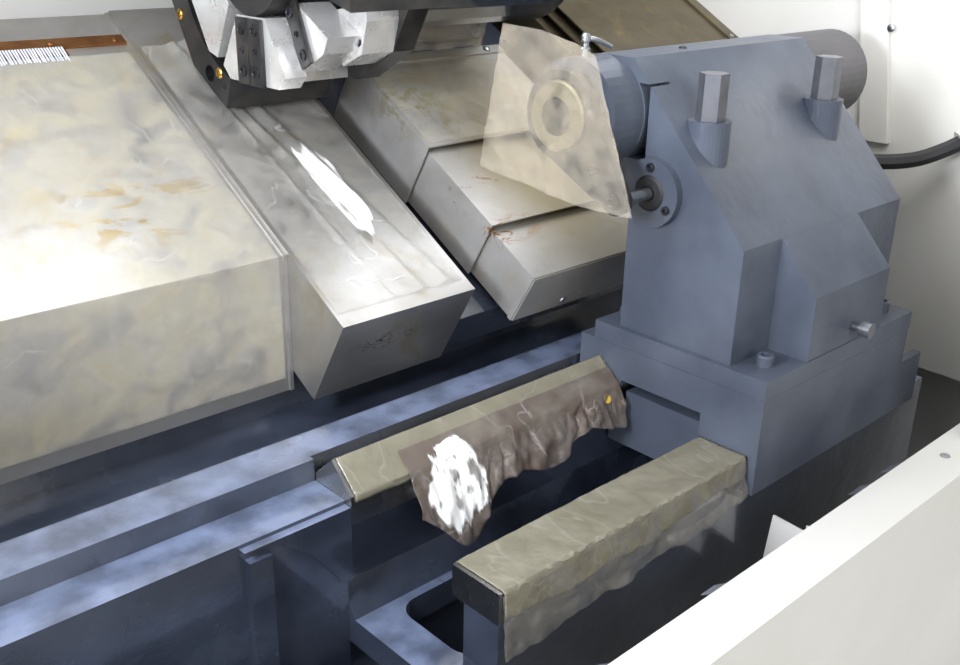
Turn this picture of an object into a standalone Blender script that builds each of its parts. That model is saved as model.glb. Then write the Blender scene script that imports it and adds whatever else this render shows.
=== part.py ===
"""CNC turning lathe with a slanted bed, a turret and a tailstock.

Metres, +Z up.  X runs along the spindle from the chuck to the tailstock, the operator stands at -Y.
The origin is on the floor below the middle of the machine.
"""
import math

import bmesh
import bpy
from mathutils import Matrix, Vector

for item in list(bpy.data.objects):
    bpy.data.objects.remove(item, do_unlink=True)

# Fits shared by many pieces
GAP = 0.0003                  # seat between two pieces that touch
RUN = 0.0006                  # running clearance of a slide
SHEET = 0.003                 # wall of the folded sheet-metal covers

# Spindle line and the slant of the bed
AXIS_Y, AXIS_Z = -0.235, 1.159
SLANT = math.radians(30)
SIN, COS = math.sin(SLANT), math.cos(SLANT)

# Casing
LENGTH = 3.0
HALF = LENGTH / 2
FRONT_Y = -0.745
SILL_Z, SILL_IN_Y = 0.68, -0.672
SKIRT_Z = 0.10                # lower edge of the casing above the floor
LEAN = math.radians(8)        # the front above the sill leans back
FRONT_RISE = 1.05             # height of the leaning front, measured up its slope
ROOF_KNEE_Y, ROOF_REAR_Z = 0.25, 1.50
OPENING_LEFT, OPENING_RIGHT = -0.52, 1.02
INNER_WALL_X = 1.42
JAMB = 0.045                  # depth of the frame round the door
LEAF_THICK, LEAF_LOW = 0.022, -0.03
LEAVES = (("door_leading", (-1.36, -0.525), 0.004), ("door_trailing", (-1.325, -0.580), 0.034))
TRACK_WALL = 0.004
REAR_Y = -(FRONT_Y + LEAF_LOW * math.sin(LEAN) - (LEAVES[1][2] + LEAF_THICK) * math.cos(LEAN))

# Base and bed
BASE_X = HALF - SHEET - GAP
BASE_FRONT, BASE_REAR = -0.62, 0.70
BASE_LOW, BASE_TOP = 0.06, 0.26
FOOT_RADIUS = 0.05
BED_LEFT, BED_RIGHT = -1.08, 1.38
BED_REAR = 0.66
BED_N = -0.441                # slanted face, below the plane through the spindle line
LEDGE_LOW_Z, LEDGE_HIGH_Z, TROUGH_Z = 0.742, 0.773, 0.72
LEDGE_EDGE, LEDGE_STEP, LEDGE_BACK, TROUGH_BACK = -0.303, -0.238, -0.170, 0.0
PAD_Z, PAD_RIGHT, PAD_FRONT = 0.70, -0.60, -0.55
PIT_FRONT = -0.51
RAIL_N, RAIL_WIDE, RAIL_LEFT, RAIL_RIGHT = 0.035, 0.040, -0.56, 1.36
RAIL_S = (-0.24, -0.60)

# Tailstock bed, left of the machine's right end
WEB_LEFT, WEB_TOP, WEB_THICK = 0.138, 0.568, 0.040
WEB_RIGHT = 1.20
WALL_FRONT, WALL_INNER = -0.549, -0.491
NECK_FRONT, NECK_REAR = -0.289, -0.238
CHUTE_TOP_Z, CHUTE_FOOT_Y = 0.611, -0.316
WINDOW_LEFT, WINDOW_RIGHT = 0.195, 0.60
WINDOW_FRONT, WINDOW_REAR, WINDOW_CORNER = -0.470, -0.330, 0.030

# Tailstock ways
WAY_RIGHT = 1.12
FRONT_WAY_LEFT, FRONT_WAY_TOP, FRONT_WAY_HIGH = 0.168, 0.722, 0.043
FRONT_WAY_Y = (WALL_FRONT, -0.470)
FRONT_WAY_LOW = FRONT_WAY_TOP - FRONT_WAY_HIGH
REAR_WAY_LEFT, V_APEX_Y, V_APEX_Z, V_HALF = WEB_LEFT + GAP, -0.276, 0.787, 0.039
V_SIDE_Z, V_FOOT_Z = 0.751, 0.711
NECK_TOP = V_FOOT_Z - GAP

# Sheet-metal covers; s runs down the slant and n stands off it
A_LEFT, A_RIGHT, A_FRONT_Y, A_LOW_Z, A_TOP_S = -0.56, 0.2457, -0.025, 0.762, -0.66
LIP, LIP_WIDE, STRIP_S = 0.003, 0.006, -0.600
TURRET_R, TURRET_CLEAR = 0.250, 0.013    # corner radius of the drum, and its distance to the cover below
B_LEFT, B_RIGHT, B_LOW_N, B_NOSE_S = 0.246, 0.487, -0.421, 0.0625
B_N = -(TURRET_R + TURRET_CLEAR)
A_N = B_N - 0.0065            # the long cover lies a little lower than the narrow one
STAGE_X = ((0.560, 0.900), (0.568, 0.892), (0.576, 0.884))
STAGE_N = (-0.213, -0.227, -0.241)
STAGE_S = ((-0.4225, -0.1915), (-0.238, -0.0175), (-0.083, 0.0935))
STAGE_LOW_N = -0.334
STRIP_THICK, STRIP_WIDE = 0.004, 0.022
RIGHT_X = ((0.9603, 1.385), (0.980, 1.395), (1.000, 1.4197))
RIGHT_N = (-0.151, -0.136, -0.121)
RIGHT_S = (-0.193, -0.183, -0.173)
RIGHT_TOP_S = (-0.675, -0.680, -0.685)
RIGHT_LOW_N = -0.416

# Saddle, cross slide and turret
SADDLE_X, SADDLE_S, SADDLE_TOP_N, SADDLE_LOW_N = (0.4875, 0.960), (-0.700, 0.050), -0.351, -0.4205
SLIDE_X, SLIDE_S, SLIDE_TOP_N = (0.52, 0.94), (-0.80, -0.4235), -0.213
RIDGE_X, RIDGE_WIDE, RIDGE_HIGH = (0.62, 0.84), 0.040, 0.012
TURRET_S, TURRET_SIDES = -0.4125, 12
DISC_X, DISC_FLOOR_X = (0.300, 0.490), 0.452
HUB_R, STATION_R = 0.0875, 0.183
RIM_INNER_R = STATION_R + 0.013
SHOULDER_R = STATION_R - 0.018    # where a tool block is widest
STATION_ANGLE = 360 / TURRET_SIDES
OPEN_STATIONS = (195, 290)    # the rim is milled away between these two angles
TOOL_REACH = 0.036            # length of a tool block along X
SECOND_TOOL_X, BAR_HOLDER_X = 0.338, 0.395
HOUSING_X, HOUSING_S, HOUSING_TOP_N, HOUSING_R = (0.502, 0.860), (-0.700, -0.4345), 0.170, 0.120

# Headstock, spindle and chuck
HEAD_X, HEAD_FRONT_Y, HEAD_TOP_Z = (-1.08, -0.62), -0.45, 1.44
SPINDLE_R, BORE_R, CYLINDER_R = 0.055, 0.080, 0.080
CHUCK_X, CHUCK_R, CHUCK_BORE = (-0.5597, -0.420), 0.125, 0.034
JAW_WIDE, JAW_IN, JAW_OUT, JAW_LONG, TONGUE = 0.034, 0.042, 0.112, 0.055, 0.012
PULLEY_X, PULLEY_R, BELT_THICK = (-1.175, -1.130), 0.085, 0.008
MOTOR_X, MOTOR_Y, MOTOR_Z, MOTOR_R = (-1.44, -1.20), 0.10, 0.46, 0.13

# Tailstock
SOLE_X, SOLE_Y, SOLE_TOP, SKIRT_LOW = (0.648, 1.064), (-0.565, -0.2325), 0.812, 0.665
SKIRT_IN, SKIRT_RIGHT, SKIRT_TOP = -0.5505, 1.132, 0.752
FLANGE_TOP, FLANGE_REAR = 0.841, -0.2595
BODY_X, BODY_FRONT, BODY_REAR, KNEE_Z = (0.658, 1.098), -0.499, -0.300, 1.008
SLOPE_TOP_Y, BODY_TOP = -0.289, 1.238
BOX_X, BOX_FRONT = (0.752, 0.962), -0.5635
BARREL_R, BARREL_LEFT = 0.079, 0.596
QUILL_R, QUILL_BORE, QUILL_X = 0.050, 0.027, (0.562, 0.960)
ROD_Y, ROD_Z, ROD_R, ROD_RIGHT = -0.343, 1.058, 0.010, 0.860
ARM_X, ARM_THICK = 0.570, 0.016
CAP_R, CAP_RIGHT = 0.0775, 1.300
BOSS_X, BOSS_Y, BOSS_Z, BOSS_R = (0.712, 1.015), -0.387, 1.160, 0.030
HEX_FLATS, HEX_HIGH, SHANK_R = 0.036, 0.064, 0.009
RELIEF_Z, CLAMP_TOP, CLAMP_LOW, CLAMP_Y = 0.758, 0.738, 0.645, (-0.462, -0.322)

# Control box, measured up the leaning front
PANEL_X, PANEL_LOW, PANEL_TOP, PANEL_DEEP, PANEL_CHIN = (1.08, 1.46), 0.22, 0.88, 0.075, 0.04
SCREEN_LOW, SCREEN_TOP, SCREEN_SIDE, SCREEN_DEEP = 0.56, 0.84, 0.05, 0.006

COLOURS = {
    "casting_blue": ((0.060, 0.075, 0.105), 0.45, 0.0),
    "bed_navy": ((0.012, 0.018, 0.035), 0.35, 0.0),
    "enclosure_white": ((0.80, 0.79, 0.75), 0.45, 0.0),
    "stainless": ((0.55, 0.52, 0.47), 0.35, 1.0),
    "bright_steel": ((0.62, 0.62, 0.60), 0.28, 1.0),
    "black_steel": ((0.030, 0.030, 0.032), 0.45, 0.6),
    "copper_strip": ((0.45, 0.24, 0.12), 0.40, 0.7),
    "brush_white": ((0.75, 0.75, 0.78), 0.90, 0.0),
    "rubber_black": ((0.015, 0.015, 0.016), 0.60, 0.0),
    "glass": ((0.30, 0.36, 0.36), 0.10, 0.0),
    "panel_grey": ((0.32, 0.33, 0.34), 0.50, 0.0),
    "signal_red": ((0.60, 0.02, 0.02), 0.40, 0.0),
}


def finish(name):
    """Material of a piece, made once."""
    found = bpy.data.materials.get(name)
    if found:
        return found
    colour, roughness, metallic = COLOURS[name]
    made = bpy.data.materials.new(name)
    made.use_nodes = True
    shader = made.node_tree.nodes["Principled BSDF"]
    shader.inputs["Base Color"].default_value = (*colour, 1.0)
    shader.inputs["Roughness"].default_value = roughness
    shader.inputs["Metallic"].default_value = metallic
    return made


def piece(name, mesh_data, colour, smooth=False):
    """Turns a bmesh into a named object with its faces pointing out."""
    bmesh.ops.recalc_face_normals(mesh_data, faces=mesh_data.faces)
    mesh = bpy.data.meshes.new(name)
    mesh_data.to_mesh(mesh)
    mesh_data.free()
    if smooth:
        mesh.shade_smooth()
        mesh.set_sharp_from_angle(angle=math.radians(30))
    made = bpy.data.objects.new(name, mesh)
    bpy.context.scene.collection.objects.link(made)
    mesh.materials.append(finish(colour))
    return made


def slant(s, n):
    """Y and Z of a point s down the slant and n above the plane through the spindle line."""
    return AXIS_Y - s * COS - n * SIN, AXIS_Z - s * SIN + n * COS


def slant_z(y, n):
    """Height of the slanted plane n at depth y."""
    return AXIS_Z + (n + (y - AXIS_Y) * SIN) / COS


def front(t, m):
    """Y and Z of a point t up the leaning front and m out of it."""
    return (FRONT_Y + t * math.sin(LEAN) - m * math.cos(LEAN),
            SILL_Z + t * math.cos(LEAN) + m * math.sin(LEAN))


def along_x(name, outline, x0, x1, colour):
    """A YZ outline drawn out along X."""
    mesh = bmesh.new()
    face = mesh.faces.new([mesh.verts.new((x0, y, z)) for y, z in outline])
    moved = bmesh.ops.extrude_face_region(mesh, geom=[face])["geom"]
    bmesh.ops.translate(mesh, verts=[v for v in moved if isinstance(v, bmesh.types.BMVert)],
                        vec=(x1 - x0, 0, 0))
    return piece(name, mesh, colour)


def along_y(name, outline, y0, y1, colour):
    """An XZ outline drawn out along Y."""
    mesh = bmesh.new()
    face = mesh.faces.new([mesh.verts.new((x, y0, z)) for x, z in outline])
    moved = bmesh.ops.extrude_face_region(mesh, geom=[face])["geom"]
    bmesh.ops.translate(mesh, verts=[v for v in moved if isinstance(v, bmesh.types.BMVert)],
                        vec=(0, y1 - y0, 0))
    return piece(name, mesh, colour)


def along_z(name, outline, z0, z1, colour):
    """An XY outline drawn out along Z."""
    mesh = bmesh.new()
    face = mesh.faces.new([mesh.verts.new((x, y, z0)) for x, y in outline])
    moved = bmesh.ops.extrude_face_region(mesh, geom=[face])["geom"]
    bmesh.ops.translate(mesh, verts=[v for v in moved if isinstance(v, bmesh.types.BMVert)],
                        vec=(0, 0, z1 - z0))
    return piece(name, mesh, colour)


def block(name, x, y, z, colour):
    """A box between two limits on each axis."""
    return along_z(name, ((x[0], y[0]), (x[1], y[0]), (x[1], y[1]), (x[0], y[1])), z[0], z[1], colour)


def slant_block(name, x, s, n, colour):
    """A box that lies on the slant."""
    corners = [slant(s[0], n[0]), slant(s[1], n[0]), slant(s[1], n[1]), slant(s[0], n[1])]
    return along_x(name, corners, x[0], x[1], colour)


def turned(name, profile, start, direction, colour, sides=40):
    """A closed outline of (distance, radius) points turned round an axis."""
    mesh = bmesh.new()
    ring = [mesh.verts.new((radius, 0, distance)) for distance, radius in profile]
    edges = [mesh.edges.new((ring[i], ring[(i + 1) % len(ring)])) for i in range(len(ring))]
    bmesh.ops.spin(mesh, geom=ring + edges, cent=(0, 0, 0), axis=(0, 0, 1),
                   angle=2 * math.pi, steps=sides, use_merge=True)
    bmesh.ops.remove_doubles(mesh, verts=mesh.verts, dist=0.00001)
    bmesh.ops.delete(mesh, geom=[e for e in mesh.edges if not e.link_faces], context="EDGES")
    turn = Vector((0, 0, 1)).rotation_difference(Vector(direction)).to_matrix().to_4x4()
    bmesh.ops.transform(mesh, matrix=Matrix.Translation(start) @ turn, verts=mesh.verts)
    return piece(name, mesh, colour, smooth=True)


def rod(name, start, direction, length, radius, colour, sides=40):
    """A plain round bar."""
    return turned(name, ((0, 0), (length, 0), (length, radius), (0, radius)), start, direction, colour, sides)


def tube(name, start, direction, length, inner, outer, colour, sides=40):
    """A round bar with a bore through it."""
    outline = ((0, inner), (length, inner), (length, outer), (0, outer))
    return turned(name, outline, start, direction, colour, sides)


def combine(target, tool, operation):
    """Cuts a shape out of a piece, or joins it on; the tool itself is only a guide."""
    change = target.modifiers.new(operation.lower(), "BOOLEAN")
    change.operation = operation
    change.solver = "EXACT"
    change.object = tool
    tool.hide_render = True
    tool.display_type = "WIRE"


def cut(target, tool):
    combine(target, tool, "DIFFERENCE")


def fuse(target, tool):
    combine(target, tool, "UNION")


def origin_at(target, point):
    """Moves a piece's origin onto its joint's axis and leaves its shape where it is."""
    target.data.transform(Matrix.Translation(-Vector(point)))
    target.location = point


def folded(outline, wall):
    """Closed outline of a bent sheet: a line of points and the same line set in by its wall."""
    inner = []
    for i, point in enumerate(outline):
        normals = []
        for a, b in ((i - 1, i), (i, i + 1)):
            if a >= 0 and b < len(outline):
                run = Vector(outline[b]) - Vector(outline[a])
                normals.append(Vector((run.y, -run.x)).normalized())
        middle = (normals[0] + normals[-1]).normalized()
        inner.append(Vector(point) + middle * wall / middle.dot(normals[0]))
    return [tuple(p) for p in outline] + [tuple(p) for p in reversed(inner)]


def rounded(x, y, radius, steps=5):
    """Corner points of a rectangle with round corners."""
    points = []
    for cx, cy, first in ((x[1], y[1], 0), (x[0], y[1], 90), (x[0], y[0], 180), (x[1], y[0], 270)):
        inward_x = radius if cx == x[0] else -radius
        inward_y = radius if cy == y[0] else -radius
        for i in range(steps + 1):
            angle = math.radians(first + 90 * i / steps)
            points.append((cx + inward_x + radius * math.cos(angle), cy + inward_y + radius * math.sin(angle)))
    return points


def base_and_bed():
    """Base with its levelling feet, the bed casting and what is bolted to it."""
    base = block("base", (-BASE_X, BASE_X), (BASE_FRONT, BASE_REAR), (BASE_LOW, BASE_TOP), "casting_blue")
    feet = [(x, y) for x in (-1.25, 0.0, 1.25) for y in (BASE_FRONT + 0.10, BASE_REAR - 0.10)]
    for number, (x, y) in enumerate(feet, 1):
        fuse(base, turned(f"levelling_foot_{number}",
                          ((0, 0), (BASE_LOW + 0.01, 0), (BASE_LOW + 0.01, FOOT_RADIUS * 0.5),
                           (0.018, FOOT_RADIUS * 0.5), (0.012, FOOT_RADIUS), (0, FOOT_RADIUS)),
                          (x, y, 0), (0, 0, 1), "bright_steel", 24))

    foot = BASE_TOP + GAP
    left_outline = [
        (LEDGE_EDGE, foot), (LEDGE_EDGE, LEDGE_LOW_Z), (LEDGE_STEP, LEDGE_LOW_Z),
        (LEDGE_STEP, LEDGE_HIGH_Z), (LEDGE_BACK, LEDGE_HIGH_Z), (LEDGE_BACK, TROUGH_Z),
        (TROUGH_BACK, TROUGH_Z), (TROUGH_BACK, slant_z(TROUGH_BACK, BED_N)),
        (BED_REAR - 0.06, slant_z(BED_REAR - 0.06, BED_N)), (BED_REAR, slant_z(BED_REAR - 0.06, BED_N)),
        (BED_REAR, foot)]
    bed = along_x("bed_casting", left_outline, BED_LEFT, BED_RIGHT, "bed_navy")
    neck = along_x("neck_cut", [(LEDGE_EDGE - 0.05, V_SIDE_Z + 0.1), (LEDGE_EDGE - 0.05, foot + 0.05),
                                (NECK_FRONT, foot + 0.05), (NECK_FRONT, NECK_TOP), (NECK_REAR, NECK_TOP),
                                (NECK_REAR, V_SIDE_Z + 0.1)],
                   WEB_LEFT, BED_RIGHT + 0.05, "bed_navy")
    cut(bed, neck)
    front_wall = along_x("front_wall", [(WALL_FRONT, foot), (WALL_FRONT, FRONT_WAY_LOW - GAP),
                                        (WALL_INNER, FRONT_WAY_LOW - GAP),
                                        (WALL_INNER, foot)],
                         FRONT_WAY_LEFT, WEB_RIGHT, "bed_navy")
    web = along_x("web", [(WALL_INNER - 0.02, WEB_TOP - WEB_THICK), (WALL_INNER - 0.02, WEB_TOP),
                          (CHUTE_FOOT_Y, WEB_TOP), (NECK_FRONT, CHUTE_TOP_Z),
                          (NECK_FRONT + 0.02, CHUTE_TOP_Z), (NECK_FRONT + 0.02, WEB_TOP - WEB_THICK)],
                  WEB_LEFT, WEB_RIGHT, "bed_navy")
    window = along_z("web_window", rounded((WINDOW_LEFT, WINDOW_RIGHT), (WINDOW_FRONT, WINDOW_REAR),
                                           WINDOW_CORNER), WEB_TOP - 0.1, WEB_TOP + 0.1, "bed_navy")
    cut(web, window)
    end_wall = block("end_wall", (WEB_RIGHT - 0.05, WEB_RIGHT), (WALL_FRONT, NECK_FRONT + 0.02),
                     (foot, WEB_TOP + 0.03), "bed_navy")
    pad = block("head_pad", (BED_LEFT, PAD_RIGHT), (PAD_FRONT, LEDGE_EDGE + 0.02), (foot, PAD_Z), "bed_navy")
    pad_cut = block("pad_cut", (BED_LEFT - 0.05, PAD_RIGHT), (LEDGE_EDGE - 0.001, A_FRONT_Y - 0.01),
                    (PAD_Z, PAD_Z + 0.2), "bed_navy")
    pit_wall = block("pit_wall", (PAD_RIGHT - 0.02, WEB_LEFT + 0.06), (WALL_FRONT, PIT_FRONT),
                     (foot, 0.50), "bed_navy")
    gusset = along_y("gusset", [(-0.012, 0.737)] + [
        (-0.012 + 0.135 * (i / 6), 0.737 - 0.105 * (i / 6) ** 2.2) for i in range(1, 7)] +
        [(WEB_LEFT - GAP, 0.632), (WEB_LEFT - GAP, 0.737)], LEDGE_EDGE - 0.012, LEDGE_EDGE + 0.02, "bed_navy")
    rib = block("pit_rib", (-0.006, 0.024), (LEDGE_EDGE - 0.012, LEDGE_EDGE + 0.02), (foot, 0.72), "bed_navy")
    for shape in (front_wall, web, end_wall, pad, pit_wall, gusset, rib):
        fuse(bed, shape)
    cut(bed, pad_cut)

    block("front_way", (FRONT_WAY_LEFT, WAY_RIGHT), FRONT_WAY_Y,
          (FRONT_WAY_LOW, FRONT_WAY_TOP), "bright_steel")
    along_x("rear_way", [(V_APEX_Y - V_HALF, V_FOOT_Z), (V_APEX_Y - V_HALF, V_SIDE_Z), (V_APEX_Y, V_APEX_Z),
                         (V_APEX_Y + V_HALF, V_SIDE_Z), (V_APEX_Y + V_HALF, V_FOOT_Z)],
            REAR_WAY_LEFT, WAY_RIGHT, "bright_steel")
    step_cut = block("step_cut", (REAR_WAY_LEFT - 0.001, WAY_RIGHT + 0.02), (NECK_REAR - 0.001, SOLE_Y[1] + 0.004),
                     (NECK_TOP, LEDGE_HIGH_Z + 0.05), "bed_navy")
    cut(bed, step_cut)
    for number, s in enumerate(RAIL_S):
        slant_block(("front_rail", "rear_rail")[number], (RAIL_LEFT, RAIL_RIGHT),
                    (s - RAIL_WIDE / 2, s + RAIL_WIDE / 2), (BED_N + GAP, BED_N + RAIL_N), "bright_steel")
    block("chip_pan", (PAD_RIGHT + 0.01, WEB_RIGHT - 0.06), (PIT_FRONT + 0.01 + 0.03, LEDGE_EDGE - 0.02),
          (foot, foot + 0.03), "casting_blue")
    return bed


def rail_grooves(target, x):
    """Clears the two slanted rails through a piece that runs over them."""
    half = RAIL_WIDE / 2 + RUN
    for number, s in enumerate(RAIL_S):
        cut(target, slant_block(f"{target.name}_groove_{number}", x, (s - half, s + half),
                                (BED_N, BED_N + RAIL_N + GAP), "bed_navy"))


def left_covers():
    """Long cover over the left ways and the narrow nose cover of the saddle."""
    corner = slant_z(A_FRONT_Y, A_N)
    line = [(A_FRONT_Y, A_LOW_Z), (A_FRONT_Y, corner), slant(A_TOP_S, A_N)]
    cover = along_x("left_way_cover", folded(line, SHEET), A_LEFT, A_RIGHT, "stainless")
    proud = [(A_FRONT_Y - LIP, A_LOW_Z), (A_FRONT_Y - LIP, slant_z(A_FRONT_Y - LIP, A_N + LIP)),
             slant(A_TOP_S, A_N + LIP)]
    fuse(cover, along_x("left_cover_lip", folded(proud, SHEET + LIP), A_RIGHT - LIP_WIDE, A_RIGHT, "stainless"))
    strip_low, strip_right = A_N + GAP, A_RIGHT - LIP_WIDE - GAP
    strip = slant_block("joint_strip", (A_LEFT + 0.04, strip_right), (STRIP_S, STRIP_S + STRIP_WIDE),
                        (strip_low, strip_low + STRIP_THICK), "copper_strip")
    fuse(strip, slant_block("joint_brush", (A_LEFT + 0.04, strip_right - 0.10),
                            (STRIP_S + STRIP_WIDE - 0.001, STRIP_S + STRIP_WIDE + 0.018),
                            (strip_low, strip_low + STRIP_THICK / 2), "brush_white"))

    nose = slant_block("nose_cover", (B_LEFT, B_RIGHT), (A_TOP_S, B_NOSE_S), (B_LOW_N, B_N), "stainless")
    cut(nose, slant_block("nose_inside", (B_LEFT + SHEET, B_RIGHT - SHEET), (A_TOP_S - 0.05, B_NOSE_S - SHEET),
                          (B_LOW_N - 0.05, B_N - SHEET), "stainless"))
    rail_grooves(nose, (B_LEFT - 0.05, B_RIGHT + 0.05))


def stage_covers():
    """Three telescopic stages in front of the cross slide; the lowest has a front plate."""
    names = ("stage_cover_upper", "stage_cover_middle", "stage_cover_lower")
    for name, x, s, n in zip(names, STAGE_X, STAGE_S, STAGE_N):
        lowest = name == names[2]
        stage = slant_block(name, x, s, (STAGE_LOW_N, n), "stainless")
        reach = -SHEET if lowest else 0.02
        cut(stage, slant_block(name + "_inside", (x[0] + SHEET, x[1] - SHEET), (s[0] - 0.02, s[1] + reach),
                               (STAGE_LOW_N - 0.02, n - SHEET), "stainless"))
        if name == names[0]:
            fuse(stage, slant_block("stage_strip", x, (s[0] + 0.001, s[0] + STRIP_WIDE), (n - 0.001, n + STRIP_THICK),
                                    "stainless"))
        if lowest:
            frame = slant_block("stage_frame", (x[0] - LIP, x[1] + LIP), (s[1] - 0.010, s[1] - 0.002),
                                (STAGE_LOW_N, n + LIP), "stainless")
            cut(frame, slant_block("stage_frame_inside", (x[0] + SHEET, x[1] - SHEET), (s[1] - 0.02, s[1] + 0.02),
                                   (STAGE_LOW_N - 0.02, n - SHEET), "stainless"))
            fuse(stage, frame)


def right_covers():
    """Telescopic covers between the saddle and the right wall, one inside the next."""
    names = ("right_cover_inner", "right_cover_middle", "right_cover_outer")
    for number, name in enumerate(names):
        x, n, s, top = RIGHT_X[number], RIGHT_N[number], RIGHT_S[number], RIGHT_TOP_S[number]
        line = [slant(s, RIGHT_LOW_N), slant(s, n), slant(top, n), slant(top, RIGHT_LOW_N)]
        cover = along_x(name, folded(line, SHEET), x[0], x[1], "stainless")
        if number == 0:
            inset = SHEET / 3
            fuse(cover, slant_block("right_end_plate", (x[0] + inset, x[0] + inset + SHEET),
                                    (top + inset, s - inset), (RIGHT_LOW_N + inset, n - inset), "stainless"))
            rail_grooves(cover, (x[0] - 0.05, x[0] + 0.05))
    fuse(cover, slant_block("right_cover_strip", (x[1] - 0.030, x[1]), (top + 0.02, s - 0.02),
                            (n - 0.001, n + STRIP_THICK), "stainless"))


def saddle_and_slide():
    """Saddle on the rails, cross slide on the saddle and the turret housing on it."""
    saddle = slant_block("saddle", SADDLE_X, SADDLE_S, (SADDLE_LOW_N, SADDLE_TOP_N), "bed_navy")
    rail_grooves(saddle, (SADDLE_X[0] - 0.05, SADDLE_X[1] + 0.05))
    slide = slant_block("cross_slide", SLIDE_X, SLIDE_S, (SADDLE_TOP_N + GAP, SLIDE_TOP_N), "bed_navy")
    for number, x in enumerate(RIDGE_X):
        half = RIDGE_WIDE / 2
        fuse(saddle, slant_block(f"saddle_ridge_{number}", (x - half, x + half),
                                 (SADDLE_S[0] + RIDGE_HIGH, SADDLE_S[1] - RIDGE_HIGH),
                                 (SADDLE_TOP_N - 0.005, SADDLE_TOP_N + RIDGE_HIGH), "bed_navy"))
        cut(slide, slant_block(f"slide_groove_{number}", (x - half - RUN, x + half + RUN),
                               (SLIDE_S[0] - 0.02, SLIDE_S[1] + 0.02),
                               (SADDLE_TOP_N - 0.02, SADDLE_TOP_N + RIDGE_HIGH + GAP), "bed_navy"))

    nose = [(TURRET_S + HOUSING_R * math.cos(a), HOUSING_R * math.sin(a))
            for a in (math.radians(-90 + 15 * i) for i in range(9))]
    outline = [(HOUSING_S[0], SLIDE_TOP_N + GAP), (HOUSING_S[1], SLIDE_TOP_N + GAP),
               (HOUSING_S[1], -HOUSING_R + 0.001), *nose, (TURRET_S, HOUSING_TOP_N), (HOUSING_S[0], HOUSING_TOP_N)]
    along_x("turret_housing", [slant(s, n) for s, n in outline], HOUSING_X[0], HOUSING_X[1], "bed_navy")


def ring_point(angle, radius):
    """Y and Z of a point round the turret's axis."""
    y, z = slant(TURRET_S, 0)
    return y + radius * math.cos(math.radians(angle)), z + radius * math.sin(math.radians(angle))


def station(angle, across, out):
    """Y and Z of a point on a turret station: across its flat and out from the turret's axis."""
    y, z = ring_point(angle, out)
    return y - across * math.sin(math.radians(angle)), z + across * math.cos(math.radians(angle))


def turret():
    """Twelve-sided turret drum and the tool blocks in its stations."""
    centre = (DISC_X[0], *slant(TURRET_S, 0))
    corners = [ring_point(STATION_ANGLE * (i + 0.5), TURRET_R) for i in range(TURRET_SIDES)]
    disc = along_x("turret_disc", corners, DISC_X[0], DISC_X[1], "black_steel")
    cut(disc, tube("disc_recess", (DISC_X[0] - 0.02, *centre[1:]), (1, 0, 0), DISC_FLOOR_X - DISC_X[0] + 0.02,
                   HUB_R, RIM_INNER_R, "black_steel", 48))
    first, last = OPEN_STATIONS
    flats = [last] + [a for a in (285, 255, 225) if first < a < last] + [first]
    inner = STATION_R / math.cos(math.radians(STATION_ANGLE / 2))
    outer = [ring_point(first + (last - first) * i / 4, TURRET_R * 1.5) for i in range(5)]
    cut(disc, along_x("open_stations", [ring_point(a, inner) for a in flats] + outer,
                      DISC_X[0] - 0.02, DISC_X[1] + 0.02, "black_steel"))
    fuse(disc, rod("turret_neck", (DISC_X[1] - 0.01, *centre[1:]), (1, 0, 0),
                   HOUSING_X[0] - GAP - DISC_X[1] + 0.01, HOUSING_R - 0.01, "black_steel"))
    for x in (0.0, 60.0):
        hole = ring_point(305 + x, (RIM_INNER_R + TURRET_R) / 2)
        cut(disc, rod(f"disc_hole_{int(x)}", (DISC_X[0] - 0.02, *hole), (1, 0, 0), 0.05, 0.013, "black_steel", 24))
    origin_at(disc, centre)

    seat_x = DISC_FLOOR_X - GAP
    base, wide = HUB_R + 0.0005, SHOULDER_R * 0.0845 / 0.165
    wedge = ((-0.037, base), (0.037, base), (wide, SHOULDER_R), (0.066, STATION_R), (-0.066, STATION_R),
             (-wide, SHOULDER_R))
    half = ((0.0106, base + 0.001), (-0.020, base + 0.001), (-0.063, SHOULDER_R - 0.004),
            (-0.0415, STATION_R - 0.008), (0.0194, STATION_R - 0.008))
    first_block = along_x("tool_block_1", [station(270, *p) for p in wedge], DISC_X[0], DISC_X[0] + TOOL_REACH,
                          "bright_steel")
    foot = ((-0.022, STATION_R - 0.033), (0.066, STATION_R - 0.033), (0.066, STATION_R), (-0.022, STATION_R))
    fuse(first_block, along_x("tool_foot_1", [station(270, *p) for p in foot], DISC_X[0] + TOOL_REACH - 0.002,
                              seat_x, "bright_steel"))
    second_block = along_x("tool_block_2", [station(240, *p) for p in half], SECOND_TOOL_X, BAR_HOLDER_X - GAP,
                           "bright_steel")
    third_block = along_x("tool_block_3", [station(330, *p) for p in wedge], DISC_X[0], seat_x, "bright_steel")
    bar = ((0.000, base + 0.007), (-0.095, STATION_R - 0.053), (-0.085, STATION_R - 0.033), (-0.050, STATION_R),
           (0.000, STATION_R - 0.004))
    holder = along_x("bar_holder", [station(240, *p) for p in bar], BAR_HOLDER_X, seat_x, "bright_steel")
    for tool in (first_block, second_block, third_block, holder):
        origin_at(tool, centre)


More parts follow.
